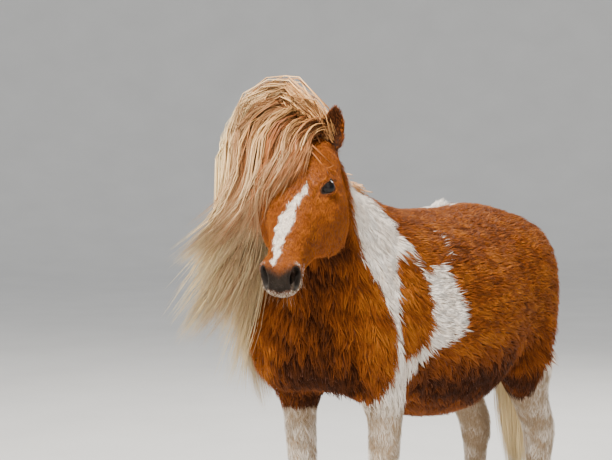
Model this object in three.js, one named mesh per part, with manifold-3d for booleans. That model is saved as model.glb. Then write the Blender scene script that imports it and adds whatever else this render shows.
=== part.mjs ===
// Shetland pony, life size, standing square with its head turned a little to its left.
// Millimetres, +Z up. The pony faces -Y, its left side is +X and its hooves stand on z = 0.

import * as THREE from "three";
import { mergeVertices } from "three/addons/utils/BufferGeometryUtils.js";
import Module from "manifold-3d";

const wasm = await Module();
wasm.setup();

// Driving dimensions

const GAP = 0.3;
const EYE_RADIUS = 18;
const EAR_LENGTH = 94;
const CORONET = 48;
const FRONT_TRACK = 115;
const HIND_TRACK = 118;

const POLL = new THREE.Vector3(108, -560, 1178);
const HEAD_TURN = THREE.MathUtils.degToRad(22);
const HEAD_PITCH = THREE.MathUtils.degToRad(44);

const UP = new THREE.Vector3(0, 0, 1);
const LEFT = new THREE.Vector3(1, 0, 0);
const AHEAD = new THREE.Vector3(0, -1, 0);

const COLOURS = {
  chestnut: 0x9a4a1c,
  white: 0xd9cdbf,
  flaxen: 0xd8b582,
  ear: 0x8a3f18,
  eye: 0x1a1210,
  hoof: 0x6b5a4a,
};

// Small maths

const vec = (x, y, z) => new THREE.Vector3(x, y, z);
const along = (point, direction, distance) => point.clone().addScaledVector(direction, distance);
const mix = (a, b, t) => a + (b - a) * t;

function seeded(seed) {
  let state = seed >>> 0;
  return () => {
    state = (Math.imul(state, 1664525) + 1013904223) >>> 0;
    return state / 4294967296;
  };
}

// Evenly spread values from one end to the other; a single value sits in the middle.
function spread(from, to, count) {
  if (count === 1) return [(from + to) / 2];
  return Array.from({ length: count }, (_, i) => mix(from, to, i / (count - 1)));
}

// Reads one column of a table of stations as a smooth function of its first column.
function column(table, index) {
  const keys = table.map((row) => row[0]);
  const curve = new THREE.CubicInterpolant(keys, table.map((row) => row[index]), 1);
  return (key) => curve.evaluate(THREE.MathUtils.clamp(key, keys[0], keys.at(-1)))[0];
}

// Every column of the table at one key.
function reader(table) {
  const columns = table[0].slice(1).map((_, index) => column(table, index + 1));
  return (key) => columns.map((read) => read(key));
}

// Joins two distances with a rounded fillet of the given width.
function blend(a, b, width) {
  const overlap = Math.max(width - Math.abs(a - b), 0) / width;
  return Math.min(a, b) - overlap * overlap * width * 0.25;
}

// Takes one distance away from another with a rounded edge.
const carve = (a, b, width) => -blend(-a, b, width);

// Distance from an ellipsoid whose axes follow the given basis, or the world's.
function muscle(centre, radii, basis = null) {
  const inverse = basis ? basis.clone().transpose() : null;
  return (point) => {
    const q = point.clone().sub(centre);
    if (inverse) q.applyMatrix4(inverse);
    const near = Math.hypot(q.x / radii.x, q.y / radii.y, q.z / radii.z);
    const slope = Math.hypot(q.x / radii.x ** 2, q.y / radii.y ** 2, q.z / radii.z ** 2);
    return slope < 1e-9 ? -Math.min(radii.x, radii.y, radii.z) : (near * (near - 1)) / slope;
  };
}

// Distance from a rod with round ends, thinner at one end.
function rod(from, to, startRadius, endRadius) {
  const axis = to.clone().sub(from);
  return (point) => {
    const t = THREE.MathUtils.clamp(point.clone().sub(from).dot(axis) / axis.lengthSq(), 0, 1);
    return point.distanceTo(along(from, axis, t)) - mix(startRadius, endRadius, t);
  };
}

// How far an egg-shaped section reaches from its middle in one direction.
function eggReach(angle, { half, above, below, power }) {
  const across = Math.abs(Math.cos(angle) / half) ** power;
  const upright = Math.sin(angle);
  return (across + Math.abs(upright / (upright > 0 ? above : below)) ** power) ** (-1 / power);
}

// Closed solids from rings of points

function closedTube(rings, startPoint, endPoint) {
  const points = [startPoint, ...rings.flat(), endPoint];
  const count = rings[0].length;
  const index = [];
  const at = (ring, j) => 1 + ring * count + (j % count);
  for (let j = 0; j < count; j += 1) {
    index.push(0, at(0, j + 1), at(0, j));
    for (let ring = 0; ring + 1 < rings.length; ring += 1) {
      index.push(at(ring, j), at(ring, j + 1), at(ring + 1, j + 1));
      index.push(at(ring, j), at(ring + 1, j + 1), at(ring + 1, j));
    }
    index.push(points.length - 1, at(rings.length - 1, j), at(rings.length - 1, j + 1));
  }
  return solidFrom(points, index);
}

function solidFrom(points, index) {
  const geometry = new THREE.BufferGeometry();
  geometry.setAttribute("position", new THREE.Float32BufferAttribute(points.flatMap((p) => p.toArray()), 3));
  geometry.setIndex(index);
  return toSolid(geometry);
}

function toSolid(geometry) {
  const bare = geometry.clone();
  bare.deleteAttribute("normal");
  bare.deleteAttribute("uv");
  const merged = mergeVertices(bare, 1e-3);
  const mesh = new wasm.Mesh({
    numProp: 3,
    vertProperties: new Float32Array(merged.attributes.position.array),
    triVerts: new Uint32Array(merged.index.array),
  });
  const solid = new wasm.Manifold(mesh);
  return solid.volume() < 0 ? toSolid(flipped(merged)) : solid;
}

function flipped(geometry) {
  const index = Array.from(geometry.index.array);
  for (let i = 0; i < index.length; i += 3) {
    [index[i], index[i + 1]] = [index[i + 1], index[i]];
  }
  geometry.setIndex(index);
  return geometry;
}

// Keeps the largest closed surface, so no sealed hollow or loose scrap is left.
function largest(solid) {
  return solid.decompose().reduce((best, piece) => (piece.volume() > best.volume() ? piece : best));
}

const middleOf = (ring) => ring.reduce((sum, p) => sum.add(p), vec(0, 0, 0)).divideScalar(ring.length);
const join = (pieces) => wasm.Manifold.union(pieces);
const cutBy = (solid, tools) => tools.reduce((left, tool) => left.subtract(tool), solid);

function toGeometry(solid) {
  const mesh = solid.getMesh();
  const geometry = new THREE.BufferGeometry();
  geometry.setAttribute("position", new THREE.BufferAttribute(new Float32Array(mesh.vertProperties), 3));
  geometry.setIndex(new THREE.BufferAttribute(new Uint32Array(mesh.triVerts), 1));
  return geometry;
}

// A skin tube: each ring starts as an egg-shaped section round the spine, then every point slides
// outward, no further than the flare, until it lies on the blended shape of section and muscles.
function skinTube({
  stations, segments, swells = [], hollows = [], flare = 0, startCap, endCap, offset = 0,
}) {
  const rings = stations.map((station) => {
    const ring = [];
    for (let j = 0; j < segments; j += 1) {
      const angle = (j / segments) * Math.PI * 2;
      const direction = station.side.clone().multiplyScalar(Math.cos(angle));
      direction.addScaledVector(station.up, Math.sin(angle));
      const own = eggReach(angle, station);
      const shape = (reach) => {
        const point = along(station.centre, direction, reach);
        let distance = reach - own;
        for (const [swell, width] of swells) distance = blend(distance, swell(point), width);
        for (const [hollow, width] of hollows) distance = carve(distance, hollow(point), width);
        return distance - offset;
      };
      ring.push(along(station.centre, direction, zeroOf(shape, own * 0.5, own + flare + offset)));
    }
    return ring;
  });
  const first = stations[0];
  const last = stations.at(-1);
  const start = along(first.centre, first.axis, -startCap - offset);
  return closedTube(rings, start, along(last.centre, last.axis, endCap + offset));
}

function zeroOf(shape, low, high) {
  if (shape(high) < 0) return high;
  let inside = low;
  let outside = high;
  for (let step = 0; step < 22; step += 1) {
    const middle = (inside + outside) / 2;
    if (shape(middle) < 0) inside = middle;
    else outside = middle;
  }
  return (inside + outside) / 2;
}

// Torso: y, topline, belly line, height of the widest point, half width, fullness of the section

const TORSO = [
  [-462, 765, 648, 700, 66, 2.0],
  [-446, 815, 622, 700, 106, 2.0],
  [-410, 872, 596, 702, 142, 2.0],
  [-350, 942, 578, 705, 168, 2.0],
  [-290, 996, 566, 708, 184, 2.0],
  [-230, 1022, 556, 708, 198, 2.0],
  [-170, 1018, 540, 708, 214, 2.0],
  [-80, 1000, 505, 706, 234, 2.0],
  [20, 992, 479, 704, 246, 2.05],
  [120, 990, 470, 712, 246, 2.05],
  [210, 993, 492, 735, 232, 2.05],
  [300, 995, 542, 762, 214, 2.05],
  [380, 981, 598, 782, 196, 2.05],
  [440, 948, 640, 785, 168, 2.0],
  [485, 905, 675, 785, 126, 2.0],
  [512, 860, 712, 782, 70, 2.0],
];
const TORSO_KEYS = TORSO.map((row) => row[0]);
const readTorso = reader(TORSO);

const bothSides = (x, y, z, radii) => [1, -1].map((side) => muscle(vec(side * x, y, z), radii));

const TORSO_SWELLS = [
  ...bothSides(122, -315, 705, vec(70, 100, 150)),
  ...bothSides(86, -398, 690, vec(58, 60, 82)),
  ...bothSides(118, 380, 800, vec(82, 130, 135)),
  ...bothSides(124, 404, 645, vec(70, 118, 140)),
].map((swell) => [swell, 70]);

function torsoStations() {
  const inner = [];
  TORSO_KEYS.forEach((key, i) => {
    inner.push(key);
    if (i > 2 && i < TORSO_KEYS.length - 3) inner.push((key + TORSO_KEYS[i + 1]) / 2);
  });
  return inner.map((y) => {
    const [top, bottom, middle, half, power] = readTorso(y);
    return {
      centre: vec(0, y, middle), side: LEFT, up: UP, axis: vec(0, 1, 0),
      half, above: top - middle, below: middle - bottom, power,
    };
  });
}

function torsoSolid(offset = 0) {
  return skinTube({
    stations: torsoStations(), segments: 26, swells: TORSO_SWELLS,
    flare: 70, startCap: 12, endCap: 14, offset,
  });
}

// Distance from the torso's own section, used where the neck and legs run into it.
function torsoShape(point) {
  const [top, bottom, middle, half, power] = readTorso(point.y);
  const rise = point.z - middle;
  const reach = Math.hypot(point.x, rise);
  const angle = Math.atan2(rise, Math.abs(point.x));
  let distance = reach - eggReach(angle, { half, above: top - middle, below: middle - bottom, power });
  for (const [swell, width] of TORSO_SWELLS) distance = blend(distance, swell(point), width);
  const beyond = Math.max(TORSO_KEYS[0] - point.y, point.y - TORSO_KEYS.at(-1), 0);
  return distance + beyond;
}

const SINK = 9;
const sunkTorso = (point) => torsoShape(point) + SINK;

// Legs: height, x from the track, y, half width, reach forward, reach back

const FRONT_LEG = [
  [CORONET, 0, -293, 39, 45, 40],
  [60, 0, -289, 37, 42, 38],
  [80, 0, -281, 33, 36, 36],
  [104, 0, -272, 31, 33, 39],
  [128, 0, -267, 34, 35, 44],
  [152, 0, -264, 31, 31, 40],
  [185, 0, -263, 28, 28, 34],
  [232, 0, -264, 29, 29, 34],
  [268, 0, -267, 34, 38, 36],
  [298, 0, -268, 37, 43, 37],
  [330, 0, -268, 35, 41, 37],
  [370, 1, -268, 33, 37, 39],
  [420, 2, -270, 35, 39, 41],
  [475, 4, -272, 39, 42, 45],
  [530, 6, -275, 46, 50, 58],
  [585, 5, -280, 51, 60, 66],
  [640, -6, -286, 44, 60, 60],
];

const HIND_LEG = [
  [CORONET, 0, 452, 39, 45, 40],
  [60, 0, 456, 37, 42, 38],
  [82, 0, 464, 33, 36, 36],
  [106, 0, 473, 31, 34, 40],
  [132, 0, 480, 34, 36, 45],
  [158, 0, 483, 31, 32, 41],
  [200, 0, 485, 29, 30, 36],
  [270, 0, 487, 30, 32, 38],
  [318, 0, 488, 33, 39, 44],
  [352, 1, 486, 37, 45, 54],
  [382, 2, 480, 39, 48, 66],
  [412, 3, 467, 40, 50, 68],
  [445, 5, 444, 42, 54, 66],
  [490, 8, 412, 47, 64, 74],
  [540, 11, 384, 54, 80, 92],
  [590, 8, 372, 58, 92, 100],
  [640, -6, 372, 52, 84, 88],
  [690, -24, 374, 42, 62, 62],
];

// The near legs stand as the table says; the off hind leg stands a little further back.
const LEGS = {
  left_foreleg: { table: FRONT_LEG, side: 1, track: FRONT_TRACK, back: 0, seed: 11 },
  right_foreleg: { table: FRONT_LEG, side: -1, track: FRONT_TRACK, back: 6, seed: 12 },
  left_hind_leg: { table: HIND_LEG, side: 1, track: HIND_TRACK, back: 0, seed: 13 },
  right_hind_leg: { table: HIND_LEG, side: -1, track: HIND_TRACK - 10, back: 60, seed: 14 },
};

function legStations({ table, side, track, back }) {
  const read = reader(table);
  const keys = table.flatMap((row, i) => (i > 11 ? [(table[i - 1][0] + row[0]) / 2, row[0]] : [row[0]]));
  return keys.map((z) => {
    const [splay, y, half, ahead, behind] = read(z);
    const slide = back * THREE.MathUtils.smoothstep(620 - z, 0, 260);
    return {
      centre: vec(side * (track + splay), y + slide, z), side: LEFT, up: AHEAD, axis: UP,
      half, above: ahead, below: behind, power: 2.15,
    };
  });
}

function legSolid(leg) {
  return skinTube({
    stations: legStations(leg), segments: 12, swells: [[sunkTorso, 60]],
    flare: 26, startCap: -GAP, endCap: 0,
  });
}

// Hooves: a flat foot, a wall that leans back and a level coronet

const HOOF_SIDES = 12;
const HOOF_RINGS = [
  { z: 0, half: 50, ahead: 60, behind: 42, y: -20 },
  { z: 7, half: 49.5, ahead: 59, behind: 43, y: -19 },
  { z: CORONET - 6, half: 42, ahead: 48, behind: 42, y: -1 },
  { z: CORONET, half: 39, ahead: 44, behind: 39, y: 0 },
];

function hoofSolid(leg, offset = 0) {
  const foot = legStations(leg)[0].centre;
  const rings = HOOF_RINGS.map(({ z, half, ahead, behind, y }) => {
    const ring = [];
    for (let j = 0; j < HOOF_SIDES; j += 1) {
      const angle = (j / HOOF_SIDES) * Math.PI * 2;
      const reach = eggReach(angle, { half, above: ahead, below: behind, power: 2.2 }) + offset;
      const level = z === 0 ? -offset : z + (z === CORONET ? offset : 0);
      ring.push(vec(foot.x + Math.cos(angle) * reach, foot.y + y - Math.sin(angle) * reach, level));
    }
    return ring;
  });
  return closedTube(rings, vec(foot.x, foot.y, -offset), vec(foot.x, foot.y, CORONET + offset));
}

// Neck: the crest line, the throat line and the half width between them

const CREST = new THREE.CatmullRomCurve3([
  vec(0, -205, 1000), vec(6, -285, 1052), vec(26, -375, 1100), vec(60, -465, 1146), vec(100, -545, 1166),
]);
const THROAT = new THREE.CatmullRomCurve3([
  vec(0, -432, 690), vec(6, -448, 745), vec(24, -462, 830), vec(48, -470, 915), vec(72, -462, 985),
]);
const NECK_WIDTH = [[0, 132, 2.0], [0.25, 122, 2.0], [0.5, 103, 2.0], [0.75, 86, 2.05], [1, 76, 2.1]];

function neckStations() {
  const width = reader(NECK_WIDTH);
  const count = 10;
  return Array.from({ length: count + 1 }, (_, i) => {
    const t = i / count;
    const crest = CREST.getPoint(t);
    const throat = THROAT.getPoint(t);
    const up = crest.clone().sub(throat);
    const height = up.length();
    up.normalize();
    const turn = HEAD_TURN * t;
    const side = vec(Math.cos(turn), Math.sin(turn), 0);
    const axis = side.clone().cross(up).negate();
    const [half, power] = width(t);
    return {
      centre: along(throat, up, height * 0.46), side, up, axis,
      half, above: height * 0.54, below: height * 0.46, power,
    };
  });
}

function neckSolid(offset = 0) {
  return skinTube({
    stations: neckStations(), segments: 20, swells: [[sunkTorso, 110]],
    flare: 46, startCap: 0, endCap: 0, offset,
  });
}

// Head: lengths run from the poll to the lips, rises stand off the line of the face

const HEAD_BASIS = new THREE.Matrix4();
{
  const forward = vec(Math.sin(HEAD_TURN), -Math.cos(HEAD_TURN), 0);
  const lateral = vec(Math.cos(HEAD_TURN), Math.sin(HEAD_TURN), 0);
  const down = along(forward.clone().multiplyScalar(Math.cos(HEAD_PITCH)), UP, -Math.sin(HEAD_PITCH));
  const face = forward.clone().multiplyScalar(Math.sin(HEAD_PITCH)).addScaledVector(UP, Math.cos(HEAD_PITCH));
  HEAD_BASIS.makeBasis(lateral, down.negate(), face);
}

// A point of the head: length from the poll, sideways to the left, rise off the face line.
function onHead(length, sideways, rise) {
  return vec(sideways, -length, rise).applyMatrix4(HEAD_BASIS).add(POLL);
}
const headDirection = (length, sideways, rise) => onHead(length, sideways, rise).sub(POLL).normalize();

// length, face line, jaw line, height of the widest point, half width, fullness
const HEAD = [
  [-26, -22, -86, -50, 34, 2.0],
  [-14, -6, -104, -48, 48, 2.0],
  [6, 4, -122, -46, 58, 2.0],
  [38, 14, -148, -44, 68, 2.1],
  [76, 23, -174, -46, 78, 2.2],
  [112, 28, -190, -52, 84, 2.25],
  [144, 27, -196, -58, 85, 2.3],
  [178, 21, -186, -60, 80, 2.3],
  [212, 14, -162, -58, 69, 2.3],
  [246, 9, -136, -54, 58, 2.3],
  [280, 6, -116, -50, 50, 2.3],
  [314, 4, -97, -45, 42, 2.3],
  [344, 2, -86, -42, 40, 2.35],
  [370, -3, -80, -41, 40, 2.3],
  [390, -11, -77, -42, 37, 2.2],
  [406, -24, -68, -45, 25, 2.1],
];
const EYE_PLACE = { length: 153, sideways: 62, rise: -5 };
const eyeCentre = (side) => onHead(EYE_PLACE.length, side * EYE_PLACE.sideways, EYE_PLACE.rise);

const headSwell = (length, sideways, rise, radii) =>
  [1, -1].map((side) => muscle(onHead(length, side * sideways, rise), radii, HEAD_BASIS));

const HEAD_SWELLS = [
  ...headSwell(EYE_PLACE.length - 12, 56, 13, vec(20, 30, 13)).map((swell) => [swell, 20]),
  ...headSwell(158, 58, -108, vec(32, 72, 72)).map((swell) => [swell, 36]),
  ...[1, -1].map((side) => [
    rod(onHead(176, side * 74, -46), onHead(246, side * 54, -50), 10, 7), 22,
  ]),
  ...headSwell(368, 27, -22, vec(19, 28, 24)).map((swell) => [swell, 16]),
  ...headSwell(386, 12, -46, vec(26, 24, 18)).map((swell) => [swell, 14]),
  [muscle(onHead(380, 0, -70), vec(24, 24, 15), HEAD_BASIS), 14],
];
const HEAD_HOLLOWS = [
  ...headSwell(92, 76, 6, vec(14, 26, 16)).map((dip) => [dip, 20]),
  ...headSwell(296, 62, -40, vec(12, 56, 22)).map((dip) => [dip, 24]),
  [muscle(onHead(338, 0, -108), vec(32, 32, 18), HEAD_BASIS), 16],
];

function headStations() {
  const read = reader(HEAD);
  const keys = HEAD.flatMap((row, i) => (i > 2 ? [(HEAD[i - 1][0] + row[0]) / 2, row[0]] : [row[0]]));
  const side = vec(1, 0, 0).applyMatrix4(HEAD_BASIS);
  const up = vec(0, 0, 1).applyMatrix4(HEAD_BASIS);
  return keys.map((length) => {
    const [top, bottom, middle, half, power] = read(length);
    return {
      centre: onHead(length, 0, middle), side, up, axis: headDirection(1, 0, 0),
      half, above: top - middle, below: middle - bottom, power,
    };
  });
}

function headBlock(offset = 0) {
  return skinTube({
    stations: headStations(), segments: 30, swells: HEAD_SWELLS, hollows: HEAD_HOLLOWS,
    flare: 30, startCap: 8, endCap: 8, offset,
  });
}

// A turned ellipsoid for sockets and openings.
function pebble(centre, radii, basis, detail = 12) {
  const shape = new THREE.SphereGeometry(1, detail, Math.round(detail * 0.7));
  shape.applyMatrix4(new THREE.Matrix4().makeScale(radii.x, radii.y, radii.z));
  if (basis) shape.applyMatrix4(basis);
  shape.translate(centre.x, centre.y, centre.z);
  return toSolid(shape);
}

const eyeSolid = (side, offset = 0) =>
  pebble(eyeCentre(side), vec(1, 1, 1).multiplyScalar(EYE_RADIUS + offset), HEAD_BASIS);

// Ears: cupped blades that stand on the poll and open forward and out

// share of the ear's length, half width, depth behind, hollowness of the cup
const EAR_RINGS = [
  [0, 22, 14, 0.02], [0.1, 25, 16, 0.22], [0.24, 28, 17, 0.62], [0.4, 28.5, 16, 0.82],
  [0.56, 26, 14, 0.84], [0.72, 21, 11, 0.82], [0.86, 13.5, 8, 0.75], [0.95, 7, 5, 0.5],
];

function earFrame(side) {
  const root = onHead(20, side * 50, -24);
  const lean = vec(side * 0.24, -0.16, 1).normalize();
  const facing = vec(Math.sin(HEAD_TURN + side * 0.3), -Math.cos(HEAD_TURN + side * 0.3), 0);
  facing.addScaledVector(lean, -facing.dot(lean)).normalize();
  return { root, lean, facing, across: lean.clone().cross(facing) };
}

// Each ring runs round the back of the ear and returns through the hollow of its cup. The space that
// an ear takes, with an offset, is its outline without the hollow.
function earSolid(side, offset = 0) {
  const cup = offset > 0 ? 0 : 1;
  const { root, lean, facing, across } = earFrame(side);
  const back = 9;
  const rings = EAR_RINGS.map(([t, half, depth, hollow]) => {
    const middle = along(root, lean, t * EAR_LENGTH).addScaledVector(facing, Math.sin(t * Math.PI) * -5);
    const ring = [];
    for (let j = 0; j < back; j += 1) {
      const angle = Math.PI * (j / (back - 1));
      const outer = along(middle, across, Math.cos(angle) * (half + offset));
      ring.push(outer.addScaledVector(facing, -Math.sin(angle) * (depth + offset)));
    }
    for (let j = 1; j < back - 1; j += 1) {
      const angle = Math.PI * (1 - j / (back - 1));
      const inner = along(middle, across, Math.cos(angle) * (half * 0.86 + offset));
      ring.push(inner.addScaledVector(facing, Math.sin(angle) * (4 - cup * hollow * depth) + offset));
    }
    return ring;
  });
  const tip = along(root, lean, EAR_LENGTH + offset);
  return closedTube(rings, along(root, lean, -6), tip);
}

// Lids: a bow over and under each eyeball, thin at the corners of the eye.
const LID = { halfLength: 18, upper: 12, lower: 11, thickness: 4, stand: EYE_RADIUS + 0.5 };

function lidSolid(side, bow) {
  const out = headDirection(0.34, side * 0.84, 0.42);
  const axis = headDirection(0.84, -side * 0.5, 0.3).projectOnPlane(out).normalize();
  const rise = axis.clone().cross(out).multiplyScalar(side);
  const rings = spread(0.05, 0.95, 7).map((t) => {
    const angle = Math.PI * t;
    const place = [-Math.cos(angle) * LID.halfLength, Math.sin(angle) * bow];
    const depth = Math.sqrt(LID.stand ** 2 - place[0] ** 2 - place[1] ** 2);
    const centre = along(eyeCentre(side), axis, place[0]).addScaledVector(rise, place[1]);
    centre.addScaledVector(out, depth);
    const radius = LID.thickness * (0.45 + 0.55 * Math.sin(angle));
    return Array.from({ length: 6 }, (_, j) => {
      const turn = (j / 6) * Math.PI * 2;
      return along(centre, out, Math.cos(turn) * radius).addScaledVector(rise, Math.sin(turn) * radius);
    });
  });
  return closedTube(rings, middleOf(rings[0]), middleOf(rings.at(-1)));
}

// The line of the mouth: a thin groove round the muzzle from corner to corner.
const MOUTH = {
  cornerLength: 322, frontLength: 404, cornerRise: -65, frontRise: -56, half: 44, height: 2, depth: 9,
};

function mouthGroove() {
  const rings = spread(-1, 1, 15).map((t) => {
    const angle = (t * Math.PI) / 2;
    const reach = MOUTH.frontLength - MOUTH.cornerLength;
    const rise = mix(MOUTH.frontRise, MOUTH.cornerRise, t * t);
    const at = (swell, lift) => onHead(
      MOUTH.cornerLength + Math.cos(angle) * (reach + swell),
      Math.sin(angle) * (MOUTH.half + swell), rise + lift,
    );
    const half = MOUTH.height / 2;
    return [at(10, -half), at(10, half), at(-MOUTH.depth, half), at(-MOUTH.depth, -half)];
  });
  return closedTube(rings, middleOf(rings[0]), middleOf(rings.at(-1)));
}

const NOSTRIL = { length: 386, sideways: 31, rise: -26, slant: 0.3, radii: vec(9, 16, 22) };

function nostril(side) {
  const slant = new THREE.Matrix4().makeRotationY(side * NOSTRIL.slant);
  const basis = HEAD_BASIS.clone().multiply(slant);
  return pebble(onHead(NOSTRIL.length, side * NOSTRIL.sideways, NOSTRIL.rise), NOSTRIL.radii, basis, 10);
}

function headSolid() {
  const lids = [1, -1].flatMap((side) => [lidSolid(side, LID.upper), lidSolid(side, -LID.lower)]);
  const cuts = [1, -1].flatMap((side) => [eyeSolid(side, GAP), nostril(side)]);
  return largest(cutBy(join([headBlock(), ...lids]), [...cuts, mouthGroove()]));
}

// Where the skin is, for hair that has to lie over it

function tubeShape(stations, swells = []) {
  return (point) => {
    let nearest = stations[0];
    let slip = Infinity;
    for (const station of stations) {
      const away = Math.abs(point.clone().sub(station.centre).dot(station.axis));
      if (away < slip) {
        slip = away;
        nearest = station;
      }
    }
    const local = point.clone().sub(nearest.centre);
    const across = local.dot(nearest.side);
    const rise = local.dot(nearest.up);
    let distance = Math.hypot(across, rise) - eggReach(Math.atan2(rise, across), nearest);
    if (slip > END_SLIP) distance = Math.hypot(Math.max(distance, 0), slip);
    for (const [swell, width] of swells) distance = blend(distance, swell(point), width);
    return distance;
  };
}
const END_SLIP = 30;

const earRod = (side) => {
  const { root, lean } = earFrame(side);
  return rod(root, along(root, lean, EAR_LENGTH), 32, 14);
};
const SKIN = [
  torsoShape, tubeShape(neckStations()), tubeShape(headStations(), HEAD_SWELLS), earRod(1), earRod(-1),
];
const offSkin = (point) => Math.min(...SKIN.map((shape) => shape(point)));

function outwardAt(point) {
  const probe = (direction) => offSkin(along(point, direction, 4)) - offSkin(along(point, direction, -4));
  return vec(probe(vec(1, 0, 0)), probe(vec(0, 1, 0)), probe(UP)).normalize();
}

// Slides a point out until it lies the given distance off the skin.
function lifted(point, clearance) {
  const out = point.clone();
  for (let i = 0; i < 3; i += 1) {
    const short = clearance - offSkin(out);
    if (short > 0) out.addScaledVector(outwardAt(out), short);
  }
  return out;
}

// Hair paths

// A lock's path: over an arch that starts straight up from the root and runs along the heading,
// then down and out again in a flick at its tip. s runs from the root, 0, to the tip, 1.
const ARCH_SHARE = 0.58;

function archPath(root, heading, { half, height, fall, flick }) {
  return (s) => {
    const arch = Math.min(s / ARCH_SHARE, 1) * Math.PI;
    const tail = Math.max((s - ARCH_SHARE) / (1 - ARCH_SHARE), 0);
    return along(root, heading, half * (1 - Math.cos(arch)) + flick * tail ** 2)
      .addScaledVector(UP, height * Math.sin(arch) - fall * (0.2 * arch / Math.PI + 0.8 * tail));
  };
}

// The mane is blown over to the pony's right and forward; t runs from the withers to the poll.
const MANE_FLOW = [
  // t, share of the heading that is ahead, arch half width, arch height, fall, flick
  [0, 0.27, 70, 24, 370, 20],
  [0.25, 0.45, 82, 34, 430, 55],
  [0.5, 0.5, 98, 50, 420, 100],
  [0.75, 0.33, 96, 94, 330, 135],
  [1, 0.2, 94, 126, 250, 100],
];
const readMane = reader(MANE_FLOW);

const POLL_SWAY = 34;

function maneRoot(t) {
  return along(CREST.getPoint(t), LEFT, POLL_SWAY * THREE.MathUtils.smoothstep(t, 0.8, 1));
}
const maneHeading = (t) => vec(-1, -readMane(t)[0], 0).normalize();

function maneGuide(t, reach, fall) {
  const [, half, height, drop, flick] = readMane(t);
  const shape = { half: half * reach, height: height * reach, fall: drop * fall, flick: flick * reach };
  return archPath(maneRoot(t), maneHeading(t), shape);
}

// The forelock: q runs from beside the left ear to beside the right ear. The hair by the left ear
// falls down the forehead, and the rest is blown out past the right eye.
const FORELOCK_FLOW = [
  // q, heading to the right, heading ahead, arch half width, arch height, fall, flick
  [0, -0.3, 1, 44, 26, 125, 50],
  [0.35, 0.1, 1, 58, 36, 135, 46],
  [0.7, 0.8, 0.7, 80, 56, 175, 60],
  [1, 1, 0.3, 80, 80, 200, 84],
];
const readForelock = reader(FORELOCK_FLOW);

function forelockHeading(q) {
  const [right, ahead] = readForelock(q);
  return vec(-right, -ahead, 0).normalize();
}

function forelockGuide(q, reach, fall) {
  const [, , half, height, drop, flick] = readForelock(q);
  const shape = { half: half * reach, height: height * reach, fall: drop * fall, flick: flick * reach };
  return archPath(onHead(4, mix(38, -30, q), 8), forelockHeading(q), shape);
}

// One hair path of the tail, which spreads below the dock and draws together at its tip.
const TAIL_LINE = new THREE.CatmullRomCurve3([
  vec(0, 500, 888), vec(0, 545, 872), vec(-2, 566, 780), vec(-4, 566, 640),
  vec(-2, 562, 480), vec(6, 566, 330), vec(12, 572, 190),
]);
function tailGuide(angle, spread, length = 1) {
  return (s) => {
    const width = spread * Math.sin(Math.PI * Math.min(0.12 + s * 0.8, 1)) ** 0.8;
    return TAIL_LINE.getPoint(s * length).add(vec(Math.cos(angle) * width, Math.sin(angle) * width * 0.7, 0));
  };
}

// A flat, tapered lock: three-sided rings along a path, swollen a little below the root. A profile
// lists places along the path with the share of the full width there.
const LOCK_PROFILE = [[0, 0.34], [0.13, 0.8], [0.28, 1], [0.46, 1], [0.65, 0.92], [0.85, 0.62]];
const FEATHER_PROFILE = [[0, 0.7], [0.35, 1], [0.7, 0.7]];

const SHINGLE = -0.45;
const ROOT_END = 6;

// The lock's width lies along flat, as nearly as its path lets it, rolled by tilt so that neighbours
// overlap like shingles.
function lock(guide, {
  width, thickness, flat, tilt = SHINGLE, length = 1, profile = LOCK_PROFILE,
}) {
  const places = [...profile.map(([s]) => guide(s * length)), guide(length)];
  const rings = profile.map(([, swell], i) => {
    const tangent = places[i + 1].clone().sub(places[Math.max(i - 1, 0)]).normalize();
    const across = flat.clone().projectOnPlane(tangent).normalize().applyAxisAngle(tangent, tilt);
    const normal = tangent.clone().cross(across);
    const half = (width * swell) / 2;
    const crown = along(places[i], normal, thickness * swell);
    return [along(places[i], across, half), crown, along(places[i], across, -half)];
  });
  const back = places[0].clone().sub(places[1]).normalize();
  return closedTube(rings, along(places[0], back, ROOT_END), places.at(-1));
}

// The guide with its root in the core and the rest lifted clear of the skin.
const ROOT_LIFT = 9;
const overSkin = (guide, clearance) => (s) => lifted(guide(s), mix(ROOT_LIFT, clearance, Math.min(1, 4 * s)));

// A short core of hair: a roll along the roots, which the locks grow out of.
const CORE_SIDES = 8;

function hairCore(roots, radius) {
  const line = roots.map((root) => lifted(root, radius / 2));
  const rings = line.map((centre, i) => {
    const tangent = line[Math.min(i + 1, line.length - 1)].clone().sub(line[Math.max(i - 1, 0)]).normalize();
    const side = tangent.clone().cross(UP).normalize();
    const up = side.clone().cross(tangent);
    return Array.from({ length: CORE_SIDES }, (_, j) => {
      const angle = (j / CORE_SIDES) * Math.PI * 2;
      const out = side.clone().multiplyScalar(Math.cos(angle)).addScaledVector(up, Math.sin(angle));
      return along(centre, out, radius);
    });
  });
  const past = (end, inner) => along(end, end.clone().sub(inner).normalize(), radius / 2);
  return closedTube(rings, past(line[0], line[1]), past(line.at(-1), line.at(-2)));
}

const HAIR_THICKNESS = 7;

// A row of hair: layers of locks along the roots, over a short core.
function hairRow({ guide, heading, from, to, coreRadius, coreRings, layers, width, seed }) {
  const random = seeded(seed);
  const roots = spread(from, to, coreRings).map((t) => guide(t, 1, 1)(0));
  const pieces = [hairCore(roots, coreRadius)];
  for (const { first = from, last = to, rows, reach, fall, clearance, tilt = SHINGLE } of layers) {
    for (const t of spread(first, last, rows)) {
      pieces.push(lock(overSkin(guide(t, reach, fall), clearance), {
        width: width * (0.85 + random() * 0.3), thickness: HAIR_THICKNESS, length: 0.86 + random() * 0.14,
        flat: UP.clone().cross(heading(t)), tilt,
      }));
    }
  }
  return join(pieces);
}

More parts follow.
